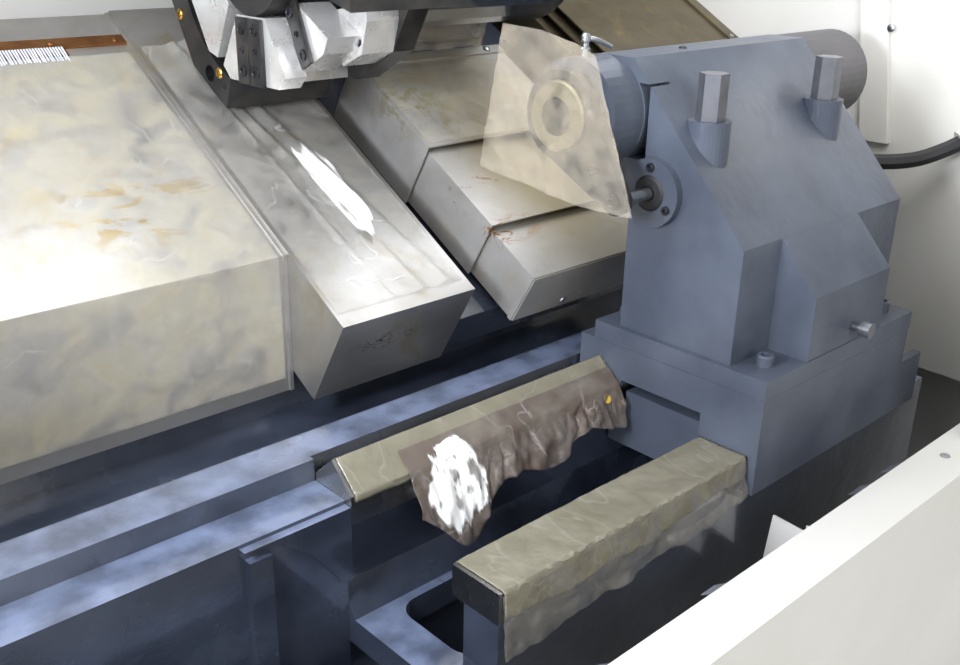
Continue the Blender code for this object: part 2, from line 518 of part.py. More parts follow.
def headstock():
    """Headstock that bridges the left cover, with its spindle, chuck and drive."""
    under = A_N + LIP + 0.008
    top_s, rear_s = A_TOP_S - 0.012, A_TOP_S - 0.075
    outline = [(HEAD_FRONT_Y, PAD_Z + GAP), (A_FRONT_Y - LIP - 0.012, PAD_Z + GAP),
               (A_FRONT_Y - LIP - 0.012, slant_z(A_FRONT_Y - LIP - 0.012, under)), slant(top_s, under),
               slant(top_s, BED_N + GAP), slant(rear_s, BED_N + GAP), slant(rear_s, -0.12),
               (0.16, HEAD_TOP_Z), (-0.34, HEAD_TOP_Z), (HEAD_FRONT_Y, HEAD_TOP_Z - 0.12)]
    head = along_x("headstock", outline, HEAD_X[0], HEAD_X[1], "casting_blue")
    axis = (AXIS_Y, AXIS_Z)
    cut(head, rod("head_bore", (HEAD_X[0] - 0.05, *axis), (1, 0, 0), HEAD_X[1] - HEAD_X[0] + 0.1, BORE_R,
                  "casting_blue"))
    bearing = 0.05
    for name, x in (("rear_bearing", HEAD_X[0] + 0.02), ("front_bearing", HEAD_X[1] - 0.02 - bearing)):
        tube(name, (x, *axis), (1, 0, 0), bearing, SPINDLE_R + RUN, BORE_R - RUN, "bright_steel")
    fuse(head, tube("bearing_cap", (HEAD_X[1] - 0.01, *axis), (1, 0, 0), 0.022, BORE_R, BORE_R + 0.035,
                    "casting_blue"))

    spindle_left = -1.24
    nose = CHUCK_X[0] - GAP
    profile = [(0, 0.027), (nose - spindle_left, 0.027), (nose - spindle_left, 0.092),
               (nose - spindle_left - 0.030, 0.092), (nose - spindle_left - 0.036, SPINDLE_R), (0, SPINDLE_R)]
    spindle = turned("spindle", profile, (spindle_left, *axis), (1, 0, 0), "bright_steel")
    fuse(spindle, tube("chuck_cylinder", (spindle_left, *axis), (1, 0, 0), 0.045, 0.027, CYLINDER_R, "bright_steel"))
    tube("spindle_pulley", (PULLEY_X[0], *axis), (1, 0, 0), PULLEY_X[1] - PULLEY_X[0],
         SPINDLE_R + GAP, PULLEY_R, "black_steel")
    chuck = tube("chuck", (CHUCK_X[0], *axis), (1, 0, 0), CHUCK_X[1] - CHUCK_X[0], CHUCK_BORE, CHUCK_R,
                 "bright_steel", 48)
    for number in range(3):
        angle = 2 * math.pi * number / 3
        turn = Matrix.Translation((0, *axis)) @ Matrix.Rotation(angle, 4, "X")
        slot = block(f"jaw_slot_{number + 1}", (CHUCK_X[1] - TONGUE - 0.001, CHUCK_X[1] + 0.02),
                     (-JAW_WIDE / 4 - GAP, JAW_WIDE / 4 + GAP), (0.0, CHUCK_R + 0.03), "bright_steel")
        slot.data.transform(turn)
        cut(chuck, slot)
        jaw = block(f"chuck_jaw_{number + 1}", (CHUCK_X[1] + GAP, CHUCK_X[1] + JAW_LONG),
                    (-JAW_WIDE / 2, JAW_WIDE / 2), (JAW_IN, JAW_OUT), "black_steel")
        tongue = block(f"jaw_tongue_{number + 1}", (CHUCK_X[1] - TONGUE, CHUCK_X[1] + 0.01),
                       (-JAW_WIDE / 4, JAW_WIDE / 4), (JAW_IN, JAW_OUT), "black_steel")
        jaw.data.transform(turn)
        tongue.data.transform(turn)
        fuse(jaw, tongue)

    motor_axis = (MOTOR_Y, MOTOR_Z)
    motor = rod("spindle_motor", (MOTOR_X[0], *motor_axis), (1, 0, 0), MOTOR_X[1] - MOTOR_X[0], MOTOR_R,
                "casting_blue")
    fuse(motor, block("motor_stand", (MOTOR_X[0] + 0.02, MOTOR_X[1] - 0.02), (MOTOR_Y - 0.09, MOTOR_Y + 0.09),
                      (BASE_TOP + GAP, MOTOR_Z - MOTOR_R / 2), "casting_blue"))
    pulley = rod("motor_pulley", (MOTOR_X[1] + GAP, *motor_axis), (1, 0, 0), PULLEY_X[1] - MOTOR_X[1] - GAP, 0.020,
                 "black_steel")
    fuse(pulley, rod("motor_rim", (PULLEY_X[0], *motor_axis), (1, 0, 0), PULLEY_X[1] - PULLEY_X[0], PULLEY_R,
                     "black_steel"))
    drive_belt(motor_axis)


def drive_belt(motor_axis):
    """Belt round two pulleys of one size, as a loop with half-round ends."""
    top, low = Vector((AXIS_Y, AXIS_Z)), Vector(motor_axis)
    aim = (top - low).normalized()
    side = Vector((-aim.y, aim.x))

    def loop(radius):
        points = []
        for centre, first in ((top, 0), (low, 180)):
            for i in range(17):
                angle = math.radians(first - 90 + 180 * i / 16)
                points.append(centre + radius * (aim * math.cos(angle) + side * math.sin(angle)))
        return [(p.x, p.y) for p in points]

    belt = along_x("drive_belt", loop(PULLEY_R + GAP * 2 + BELT_THICK), PULLEY_X[0] + 0.004, PULLEY_X[1] - 0.004,
                   "rubber_black")
    cut(belt, along_x("belt_inside", loop(PULLEY_R + GAP * 2), PULLEY_X[0] - 0.02, PULLEY_X[1] + 0.02,
                      "rubber_black"))


def slope_point(y):
    """Height of the tailstock's sloping face at depth y."""
    return KNEE_Z + (BODY_TOP - KNEE_Z) * (y - BODY_FRONT) / (SLOPE_TOP_Y - BODY_FRONT)


def tailstock():
    """Sole, body with its barrel, quill with guide rod, clamp bolts and small fittings."""
    rise = (V_APEX_Z - V_SIDE_Z) / V_HALF
    apex = V_APEX_Z + GAP * 2
    groove_front = V_APEX_Y - V_HALF - 0.003
    sole_line = [(SOLE_Y[0], SKIRT_LOW), (SKIRT_IN, SKIRT_LOW), (SKIRT_IN, FRONT_WAY_TOP + GAP),
                 (FRONT_WAY_Y[1] + 0.004, FRONT_WAY_TOP + GAP), (FRONT_WAY_Y[1] + 0.004, RELIEF_Z),
                 (groove_front, RELIEF_Z), (groove_front, apex - rise * (V_APEX_Y - groove_front)),
                 (V_APEX_Y, apex), (SOLE_Y[1], apex - rise * (SOLE_Y[1] - V_APEX_Y)), (SOLE_Y[1], SOLE_TOP),
                 (SOLE_Y[0], SOLE_TOP)]
    sole = along_x("tail_sole", sole_line, SOLE_X[0], SOLE_X[1], "casting_blue")
    fuse(sole, along_x("skirt_end", [(SOLE_Y[0], SKIRT_LOW), (SKIRT_IN, SKIRT_LOW), (SKIRT_IN, SKIRT_TOP),
                                     (SOLE_Y[0], SKIRT_TOP)], SOLE_X[1] - 0.02, SKIRT_RIGHT, "casting_blue"))

    body = along_x("tail_body", [(SOLE_Y[0], SOLE_TOP + GAP), (FLANGE_REAR, SOLE_TOP + GAP),
                                 (FLANGE_REAR, FLANGE_TOP), (SOLE_Y[0], FLANGE_TOP)],
                   SOLE_X[0], SOLE_X[1] + 0.004, "casting_blue")
    shell = [(BODY_FRONT, FLANGE_TOP - 0.01), (BODY_FRONT, KNEE_Z), (SLOPE_TOP_Y, BODY_TOP),
             (AXIS_Y, BODY_TOP), (AXIS_Y, BODY_TOP - 0.02), (AXIS_Y + 0.03, 1.09), (BODY_REAR, 1.03),
             (BODY_REAR, FLANGE_TOP - 0.01)]
    fuse(body, along_x("tail_shell", shell, BODY_X[0], BODY_X[1], "casting_blue"))
    fuse(body, along_x("tail_box", [(BOX_FRONT, FLANGE_TOP - 0.01), (BOX_FRONT, slope_point(BOX_FRONT) - GAP),
                                    (BODY_FRONT, KNEE_Z - GAP), (BODY_FRONT + 0.01, KNEE_Z - GAP),
                                    (BODY_FRONT + 0.01, FLANGE_TOP - 0.01)], BOX_X[0], BOX_X[1], "casting_blue"))
    fuse(body, rod("tail_barrel", (BARREL_LEFT, AXIS_Y, AXIS_Z), (1, 0, 0), BODY_X[1] - BARREL_LEFT - 0.001,
                   BARREL_R, "casting_blue"))
    for number, x in enumerate(BOSS_X):
        fuse(body, rod(f"tail_boss_{number}", (x, BOSS_Y, BOSS_Z - 0.10), (0, 0, 1), 0.10, BOSS_R,
                       "casting_blue", 32))
    recess = block("tail_recess", (BODY_X[0] - 0.01, BODY_X[0] + 0.045), (-0.322, AXIS_Y + 0.10), (1.098, 1.205),
                   "casting_blue")
    barrel_keep = rod("recess_core", (BODY_X[0] - 0.02, AXIS_Y, AXIS_Z), (1, 0, 0), 0.08, BARREL_R + 0.002,
                      "casting_blue")
    cut(recess, barrel_keep)
    cut(body, recess)
    cut(body, rod("quill_bore", (BARREL_LEFT - 0.02, AXIS_Y, AXIS_Z), (1, 0, 0), QUILL_X[1] + 0.03 - BARREL_LEFT,
                  QUILL_R + RUN, "casting_blue"))
    cut(body, rod("rod_hole", (BODY_X[0] - 0.02, ROD_Y, ROD_Z), (1, 0, 0), ROD_RIGHT + 0.04 - BODY_X[0],
                  ROD_R + RUN, "casting_blue", 24))
    for number, x in enumerate(BOSS_X):
        cut(body, rod(f"bolt_hole_{number}", (x, BOSS_Y, SOLE_TOP - 0.02), (0, 0, 1), BOSS_Z + 0.05 - SOLE_TOP,
                      SHANK_R + RUN, "casting_blue", 24))
        cut(sole, rod(f"sole_hole_{number}", (x, BOSS_Y, 0.70), (0, 0, 1), 0.2, SHANK_R + RUN, "casting_blue", 24))

    plate_front, plate_rear = WALL_INNER + 0.004, NECK_FRONT - 0.004
    plate = along_x("tail_clamp_plate",
                    [(plate_front, CLAMP_LOW), (plate_rear, CLAMP_LOW), (plate_rear, V_FOOT_Z - GAP),
                     (CLAMP_Y[1], V_FOOT_Z - GAP), (CLAMP_Y[1], CLAMP_TOP), (CLAMP_Y[0], CLAMP_TOP),
                     (CLAMP_Y[0], FRONT_WAY_LOW - GAP), (plate_front, FRONT_WAY_LOW - GAP)],
                    SOLE_X[0] + 0.01, SOLE_X[1] - 0.01, "casting_blue")
    for number, x in enumerate(BOSS_X):
        cut(plate, rod(f"plate_hole_{number}", (x, BOSS_Y, 0.6), (0, 0, 1), 0.2, SHANK_R + RUN, "casting_blue", 24))
        bolt = turned(f"clamp_bolt_{number + 1}",
                      ((0, 0), (0, SHANK_R), (BOSS_Z + 0.02 - CLAMP_LOW, SHANK_R), (BOSS_Z + 0.02 - CLAMP_LOW, 0)),
                      (x, BOSS_Y, CLAMP_LOW - 0.010), (0, 0, 1), "bright_steel", 24)
        head = rod(f"bolt_head_{number}", (x, BOSS_Y, BOSS_Z + GAP), (0, 0, 1), HEX_HIGH,
                   HEX_FLATS / math.sqrt(3), "bright_steel", 6)
        head.data.shade_flat()
        fuse(bolt, head)
        fuse(bolt, rod(f"bolt_nut_{number}", (x, BOSS_Y, CLAMP_LOW - GAP - 0.020), (0, 0, 1), 0.020, 0.020,
                       "bright_steel", 6))
        origin_at(bolt, (x, BOSS_Y, BOSS_Z))

    spots = ((SOLE_X[0] + 0.050, FLANGE_REAR - 0.022), (SOLE_X[0] + 0.050, SOLE_Y[0] + 0.036),
             (SOLE_X[1] - 0.030, FLANGE_REAR - 0.022), (SOLE_X[1] - 0.030, SOLE_Y[0] + 0.036))
    for number, (x, y) in enumerate(spots, 1):
        fuse(body, turned(f"sole_screw_{number}", ((0, 0), (0, 0.012), (0.024, 0.012), (0.026, 0.0105), (0.026, 0)),
                          (x, y, FLANGE_TOP - 0.010), (0, 0, 1), "black_steel", 24))
        cut(body, rod(f"sole_socket_{number}", (x, y, FLANGE_TOP + 0.007), (0, 0, 1), 0.03, 0.0075,
                      "black_steel", 6))
    turned("adjusting_screw", ((0, 0), (0, 0.0065), (0.014, 0.0065), (0.014, 0.012), (0.030, 0.012), (0.030, 0)),
           (0.872, BOX_FRONT - GAP, 0.866), (0, -1, 0), "black_steel", 24)
    tube("guide_flange", (BODY_X[0] - GAP, ROD_Y, ROD_Z), (-1, 0, 0), 0.012, ROD_R + RUN, 0.049, "casting_blue")
    turned("tail_end_cap", ((0, 0), (CAP_RIGHT - BODY_X[1] - GAP - 0.008, 0), (CAP_RIGHT - BODY_X[1] - GAP, 0),
                            (CAP_RIGHT - BODY_X[1] - GAP, CAP_R - 0.008),
                            (CAP_RIGHT - BODY_X[1] - GAP - 0.008, CAP_R), (0, CAP_R)),
           (BODY_X[1] + GAP, AXIS_Y, AXIS_Z), (1, 0, 0), "casting_blue")

    turned("quill", ((0, QUILL_BORE), (0, QUILL_R - 0.003), (0.003, QUILL_R),
                     (QUILL_X[1] - QUILL_X[0], QUILL_R), (QUILL_X[1] - QUILL_X[0], QUILL_BORE)),
           (QUILL_X[0], AXIS_Y, AXIS_Z), (1, 0, 0), "bright_steel")
    quill_arm()
    rod_left = ARM_X + ARM_THICK + GAP
    rod("guide_rod", (rod_left, ROD_Y, ROD_Z), (1, 0, 0), ROD_RIGHT - rod_left, ROD_R, "bright_steel", 24)


def quill_arm():
    """Arm clamped on the quill that carries the guide rod."""
    x0, x1 = ARM_X, ARM_X + ARM_THICK
    aim = Vector((ROD_Y - AXIS_Y, ROD_Z - AXIS_Z))
    reach = aim.length
    aim.normalize()
    side = Vector((-aim.y, aim.x))
    big, small = QUILL_R + 0.014, 0.020
    points = []
    for i in range(19):
        angle = math.radians(60 + 240 * i / 18)
        points.append(aim * big * math.cos(angle) + side * big * math.sin(angle))
    for i in range(9):
        angle = math.radians(-80 + 160 * i / 8)
        points.append(aim * (reach + small * math.cos(angle)) + side * small * math.sin(angle))
    arm = along_x("quill_arm", [(AXIS_Y + p.x, AXIS_Z + p.y) for p in points], x0, x1, "black_steel")
    cut(arm, rod("arm_bore", (x0 - 0.02, AXIS_Y, AXIS_Z), (1, 0, 0), 0.06, QUILL_R + GAP, "black_steel"))


def enclosure():
    """Sheet-metal casing: skirt with its sill, corner panels, roof, door track and inner wall."""
    inside = HALF - SHEET
    skirt_line = [(BASE_FRONT - GAP, SKIRT_Z), (FRONT_Y, SKIRT_Z), (FRONT_Y, SILL_Z), (SILL_IN_Y, SILL_Z),
                  (SILL_IN_Y, SILL_Z - 0.06)]
    skirt = along_x("front_skirt", folded(skirt_line, SHEET), OPENING_LEFT + GAP, inside - GAP, "enclosure_white")
    fuse(skirt, block("sill_bracket", (0.690, 0.693), (SILL_IN_Y - SHEET + 0.001, SILL_IN_Y + 0.040), (0.50, 0.63),
                      "enclosure_white"))

    low, rise = SKIRT_Z - 0.02, FRONT_RISE - 0.10
    peak_y, peak_z = front(FRONT_RISE, 0)
    end_line = [(BASE_FRONT, low), (FRONT_Y, low), (FRONT_Y, SILL_Z), (peak_y, peak_z), (ROOF_KNEE_Y, peak_z),
                (REAR_Y, ROOF_REAR_Z), (REAR_Y, low)]
    left_line = [(BASE_FRONT - GAP, SKIRT_Z), (FRONT_Y, SKIRT_Z), (FRONT_Y, SILL_Z), front(rise, 0)]
    left = along_x("left_corner_panel", end_line, -HALF, -inside, "enclosure_white")
    fuse(left, along_x("left_front", folded(left_line, SHEET), -inside - 0.001, OPENING_LEFT, "enclosure_white"))
    right = along_x("right_corner_panel", end_line, inside, HALF, "enclosure_white")
    seat = SILL_Z + GAP
    fuse(right, along_x("right_jamb", [(FRONT_Y, seat), front(rise, 0), front(rise, -JAMB),
                                       (FRONT_Y + JAMB / math.cos(LEAN), seat)],
                        OPENING_RIGHT, inside + 0.001, "enclosure_white"))
    block("rear_panel", (-inside + GAP, inside - GAP), (REAR_Y - SHEET, REAR_Y), (low, ROOF_REAR_Z - 0.004),
          "enclosure_white")
    roof_z = peak_z + GAP
    along_x("roof", [(peak_y + 0.01, roof_z), (ROOF_KNEE_Y, roof_z), (REAR_Y, ROOF_REAR_Z + GAP),
                     (REAR_Y, ROOF_REAR_Z + GAP + SHEET), (ROOF_KNEE_Y, roof_z + SHEET),
                     (peak_y + 0.01, roof_z + SHEET)], -HALF, HALF, "enclosure_white")

    track_out = LEAVES[1][2] + LEAF_THICK + 0.006
    ceiling, start = FRONT_RISE - 0.030, rise + GAP
    along_x("door_header", [front(start, -JAMB), front(start, 0), front(ceiling, 0), front(ceiling, track_out),
                            front(start, track_out), front(start, track_out + TRACK_WALL),
                            front(FRONT_RISE - 0.004, track_out + TRACK_WALL), front(FRONT_RISE - 0.004, -JAMB)],
            -inside + GAP, inside - GAP, "enclosure_white")

    wall_front, wall_rear = -0.655, REAR_Y - SHEET - GAP
    lean_y = front(rise, -JAMB - 0.015)[0]
    wall = along_x("inner_wall", [(wall_front, 0.60), (wall_front, SILL_Z + 0.10), (lean_y, 1.60),
                                  (lean_y, peak_z), (ROOF_KNEE_Y, peak_z), (wall_rear, ROOF_REAR_Z - 0.004),
                                  (wall_rear, 0.60)], INNER_WALL_X, INNER_WALL_X + SHEET, "enclosure_white")
    fuse(wall, along_x("wall_post", [(-0.314, 1.025), (-0.258, 1.025), (-0.150, peak_z - 0.01),
                                     (-0.206, peak_z - 0.01)], INNER_WALL_X - 0.012, INNER_WALL_X + 0.001,
                       "enclosure_white"))
    return wall


def doors():
    """Two telescopic door leaves, both stored at the left; the leading one has a window and a handle."""
    top = FRONT_RISE - 0.030 - GAP
    for name, x, off in LEAVES:
        leaf = along_x(name, [front(LEAF_LOW, off), front(LEAF_LOW, off + LEAF_THICK), front(top, off + LEAF_THICK),
                              front(top, off)], x[0], x[1], "enclosure_white")
        if off > LEAVES[0][2]:
            continue
        pane_x, low, high = (x[0] + 0.14, x[1] - 0.14), 0.34, 0.86
        cut(leaf, along_x("window_hole", [front(low, off - 0.02), front(low, off + 0.04), front(high, off + 0.04),
                                          front(high, off - 0.02)], pane_x[0], pane_x[1], "enclosure_white"))
        along_x("door_pane", [front(low + GAP, off + 0.007), front(low + GAP, off + 0.015),
                              front(high - GAP, off + 0.015), front(high - GAP, off + 0.007)],
                pane_x[0] + GAP, pane_x[1] - GAP, "glass")
        face = off + LEAF_THICK
        handle_x = (x[1] - 0.037, x[1] - 0.012)
        fuse(leaf, along_x("door_handle", [front(0.30, face + 0.040), front(0.30, face + 0.055),
                                           front(0.56, face + 0.055), front(0.56, face + 0.040)],
                           handle_x[0], handle_x[1], "panel_grey"))
        for number, t in enumerate((0.31, 0.53)):
            fuse(leaf, along_x(f"handle_leg_{number}", [front(t, face - 0.002), front(t, face + 0.045),
                                                        front(t + 0.02, face + 0.045), front(t + 0.02, face - 0.002)],
                               handle_x[0] + 0.003, handle_x[1] - 0.003, "panel_grey"))


def operator_panel():
    """Control box on the right of the front, with a recess for its screen and a stop button."""
    x, deep, lift = PANEL_X, PANEL_DEEP, 0.005
    box = along_x("control_box", [front(PANEL_LOW, GAP), front(PANEL_LOW, deep - PANEL_CHIN / 2),
                                  front(PANEL_LOW + PANEL_CHIN, deep), front(PANEL_TOP, deep),
                                  front(PANEL_TOP, GAP)], x[0], x[1], "panel_grey")
    cut(box, along_x("screen_recess", [front(SCREEN_LOW, deep - SCREEN_DEEP), front(SCREEN_LOW, deep + 0.02),
                                       front(SCREEN_TOP, deep + 0.02), front(SCREEN_TOP, deep - SCREEN_DEEP)],
                     x[0] + SCREEN_SIDE, x[1] - SCREEN_SIDE, "panel_grey"))
    out = Vector((0, -math.cos(LEAN), math.sin(LEAN)))
    start = Vector((x[1] - 0.08, *front(0.40, deep)))
    stem, radius, high = 0.006, 0.020, 0.016
    cut(box, rod("button_hole", start - out * 0.02, out, 0.04, stem + RUN, "signal_red", 20))
    button = turned("stop_button", ((-0.016, 0), (-0.016, stem), (lift, stem), (lift, radius), (lift + high, radius),
                                    (lift + high, 0)), start, out, "signal_red", 24)
    origin_at(button, start)


def smooth_path(points, steps):
    """Points along a smooth curve through the chosen points of a route."""
    ends = [points[0] * 2 - points[1]] + points + [points[-1] * 2 - points[-2]]
    path = []
    for i in range(len(points) - 1):
        a, b, c, d = ends[i:i + 4]
        for k in range(steps):
            t = k / steps
            path.append(0.5 * ((2 * b) + (c - a) * t + (2 * a - 5 * b + 4 * c - d) * t * t
                               + (3 * b - a - 3 * c + d) * t ** 3))
    return path + [points[-1]]


def hose(wall, bed):
    """Hose from a gland in the right wall, behind the tailstock, down to a fitting on the bed."""
    foot_x, foot_y, nut_high = 1.24, -0.115, 0.030
    route = [(1.400, -0.454, 1.051), (1.380, -0.434, 1.036), (1.355, -0.405, 1.020), (1.330, -0.372, 1.012),
             (1.300, -0.330, 1.008), (1.270, -0.282, 0.998), (1.252, -0.230, 0.972), (1.243, -0.180, 0.930),
             (foot_x, -0.142, 0.885), (foot_x, -0.120, 0.848), (foot_x, foot_y, 0.815), (foot_x, foot_y, 0.785),
             (foot_x, foot_y, TROUGH_Z + nut_high + GAP)]
    path = smooth_path([Vector(p) for p in route], 3)
    line = bpy.data.curves.new("tail_hose", "CURVE")
    line.dimensions = "3D"
    line.bevel_depth = 0.0145
    line.bevel_resolution = 2
    line.use_fill_caps = True
    spline = line.splines.new("POLY")
    spline.points.add(len(path) - 1)
    for point, place in zip(spline.points, path):
        point.co = (*place, 1.0)
    made = bpy.data.objects.new("tail_hose", line)
    bpy.context.scene.collection.objects.link(made)
    line.materials.append(finish("rubber_black"))
    aim = (path[0] - path[1]).normalized()
    fuse(wall, rod("hose_gland", path[0] + aim * GAP, aim, 0.045, 0.022, "bright_steel", 24))
    fuse(bed, rod("hose_nut", (foot_x, foot_y, TROUGH_Z - 0.01), (0, 0, 1), nut_high + 0.01, 0.021,
                  "bright_steel", 6))


bed_casting = base_and_bed()
left_covers()
stage_covers()
right_covers()
saddle_and_slide()
turret()
headstock()
tailstock()
inner_wall = enclosure()
doors()
operator_panel()
hose(inner_wall, bed_casting)
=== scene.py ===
import math

import bmesh
import bpy
from mathutils import Matrix, Vector, noise


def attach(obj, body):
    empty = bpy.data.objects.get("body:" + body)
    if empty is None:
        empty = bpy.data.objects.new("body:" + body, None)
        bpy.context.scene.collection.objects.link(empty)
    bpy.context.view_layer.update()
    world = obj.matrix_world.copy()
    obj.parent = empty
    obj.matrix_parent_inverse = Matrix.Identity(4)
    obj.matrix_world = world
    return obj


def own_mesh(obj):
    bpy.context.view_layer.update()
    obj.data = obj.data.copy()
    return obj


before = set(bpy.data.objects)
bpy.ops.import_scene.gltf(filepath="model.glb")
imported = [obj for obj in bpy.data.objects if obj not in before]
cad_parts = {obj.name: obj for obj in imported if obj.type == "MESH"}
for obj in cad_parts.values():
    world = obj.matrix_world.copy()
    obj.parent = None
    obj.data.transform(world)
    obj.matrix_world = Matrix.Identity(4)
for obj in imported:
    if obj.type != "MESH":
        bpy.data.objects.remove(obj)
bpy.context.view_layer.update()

# Sizes shared with the solids, in metres: the spindle line, the bed's slant and the lean of the casing's front
AXIS_Y, AXIS_Z = -0.235, 1.159
SIN, COS = 0.5, math.cos(math.radians(30))
SLANT_OUT = Vector((0, -SIN, COS))
SLANT_DOWN = Vector((0, -COS, -SIN))
LEAN = math.radians(8)
FRONT_Y, SILL_Z = -0.745, 0.68
# Left end of the ways, and of the tailstock's sole at rest
WAY_LEFT, SOLE_LEFT = 0.168, 0.648
# How far a film stands off what it lies on
FILM_LIFT = 0.0012
# Distance at which two points of a mesh are one
TOUCH = 0.000005


def slant(x, s, n):
    """A point s down the slant and n above the plane through the spindle line."""
    return Vector((x, AXIS_Y - s * COS - n * SIN, AXIS_Z - s * SIN + n * COS))


def front(x, t, m):
    """A point t up the leaning front of the casing and m out of it."""
    return Vector((x, FRONT_Y + t * math.sin(LEAN) - m * math.cos(LEAN),
                   SILL_Z + t * math.cos(LEAN) + m * math.sin(LEAN)))


# Materials

def linear(code):
    """An sRGB hex colour as linear RGBA."""
    parts = [int(code[i:i + 2], 16) / 255 for i in (1, 3, 5)]
    return (*[c / 12.92 if c <= 0.04045 else ((c + 0.055) / 1.055) ** 2.4 for c in parts], 1.0)


def add_node(tree, kind, links=(), stops=(), **settings):
    """Adds a node with its settings, socket values or links, and colour stops."""
    made = tree.nodes.new(kind)
    for name, value in settings.items():
        setattr(made, name, value)
    for socket, value in dict(links).items():
        if isinstance(value, bpy.types.NodeSocket):
            tree.links.new(value, made.inputs[socket])
        else:
            made.inputs[socket].default_value = value
    for i, (position, value) in enumerate(stops):
        stop = made.color_ramp.elements[i] if i < 2 else made.color_ramp.elements.new(position)
        stop.position = position
        stop.color = linear(value) if isinstance(value, str) else (value, value, value, 1.0)
    return made


def start_material(name, **shader_values):
    """A material with its shader and the object's own coordinates."""
    made = bpy.data.materials.new(name)
    made.use_nodes = True
    tree = made.node_tree
    shader = tree.nodes["Principled BSDF"]
    for socket, value in shader_values.items():
        shader.inputs[socket.replace("_", " ")].default_value = value
    place = add_node(tree, "ShaderNodeTexCoord").outputs["Object"]
    return made, tree, shader, place


def speckle(tree, place, size_mm, detail=3.0, stretch=(1, 1, 1), rough=0.5, twist=0.0):
    """Noise whose grain has a real size in millimetres."""
    spread = add_node(tree, "ShaderNodeMapping", {"Vector": place, "Scale": stretch})
    return add_node(tree, "ShaderNodeTexNoise",
                    {"Vector": spread.outputs[0], "Scale": 1000.0 / size_mm, "Detail": detail,
                     "Roughness": rough, "Distortion": twist}).outputs["Fac"]


def ramp(tree, value, *stops):
    """A value turned to colours or greys."""
    return add_node(tree, "ShaderNodeValToRGB", {"Fac": value}, stops).outputs["Color"]


def blend_colour(tree, share, first, second, kind="MIX"):
    """Two colours mixed by a share."""
    mixer = add_node(tree, "ShaderNodeMix", data_type="RGBA", blend_type=kind)
    for socket, value in ((0, share), (6, first), (7, second)):
        if isinstance(value, bpy.types.NodeSocket):
            tree.links.new(value, mixer.inputs[socket])
        else:
            mixer.inputs[socket].default_value = linear(value) if isinstance(value, str) else value
    return mixer.outputs[2]


def relief(tree, shader, height, strength, depth_mm, below=None):
    """Fine relief of a real depth in millimetres on a shader, over another relief if there is one."""
    links = {"Height": height, "Strength": strength, "Distance": depth_mm / 1000.0}
    if below:
        links["Normal"] = below
    made = add_node(tree, "ShaderNodeBump", links).outputs["Normal"]
    tree.links.new(made, shader.inputs["Normal"])
    return made


def patch(tree, place, centre, reach):
    """One inside an ellipsoid round a point, fading to nothing at its edge."""
    moved = add_node(tree, "ShaderNodeVectorMath", {0: place, 1: centre}, operation="SUBTRACT").outputs[0]
    scaled = add_node(tree, "ShaderNodeVectorMath", {0: moved, 1: [1 / r for r in reach]},
                      operation="MULTIPLY").outputs[0]
    far = add_node(tree, "ShaderNodeVectorMath", {0: scaled}, operation="LENGTH").outputs["Value"]
    return ramp(tree, far, (0.35, 1.0), (1.0, 0.0))


def enamel(name, colour, worn, roughness, peel_mm, peel, cast, coat=0.0, top_light_colour=None):
    """Sprayed enamel over filled cast iron: a satin skin with orange peel, and the casting's slow waves.

    With a top light colour, up-facing faces are painted lighter, back to the foot of the ledges: painted light."""
    made, tree, shader, place = start_material(name, IOR=1.5, Coat_Weight=coat, Coat_Roughness=0.10,
                                               Coat_IOR=1.8)
    cloud = speckle(tree, place, 140, 5.0)
    tone = blend_colour(tree, ramp(tree, cloud, (0.35, 0.0), (0.72, 1.0)), colour, worn)
    # Painted light: faces that look up, in front of the covers, turn lighter and bluer as if lit from above
    if top_light_colour:
        upright = add_node(tree, "ShaderNodeSeparateXYZ", {0: place.node.outputs["Normal"]}).outputs["Z"]
        back = add_node(tree, "ShaderNodeSeparateXYZ", {0: place}).outputs["Y"]
        from_front = add_node(tree, "ShaderNodeMath", {0: back, 1: 1.0}, operation="ADD").outputs[0]
        painted_top_light = ramp(tree, upright, (0.70, 0.0), (0.97, 0.85))
        for share in (ramp(tree, speckle(tree, place, 60, 4.0), (0.36, 0.30), (0.62, 1.0)),
                      ramp(tree, from_front, (0.825, 1.0), (0.840, 0.0))):
            painted_top_light = add_node(tree, "ShaderNodeMath", {0: painted_top_light, 1: share}, operation="MULTIPLY").outputs[0]
        tone = blend_colour(tree, painted_top_light, tone, top_light_colour)
    dust = ramp(tree, speckle(tree, place, 2.2, 2.0), (0.70, 0.0), (0.78, 1.0))
    faint = add_node(tree, "ShaderNodeMath", {0: dust, 1: 0.10}, operation="MULTIPLY").outputs[0]
    tree.links.new(blend_colour(tree, faint, tone, "#8D97A6"), shader.inputs["Base Color"])
    tree.links.new(ramp(tree, cloud, (0.2, roughness - 0.08), (0.8, roughness + 0.10)),
                   shader.inputs["Roughness"])
    waves = relief(tree, shader, speckle(tree, place, 38, 2.0), 1.0, cast)
    relief(tree, shader, speckle(tree, place, peel_mm, 1.5), 1.0, peel, waves)
    return made


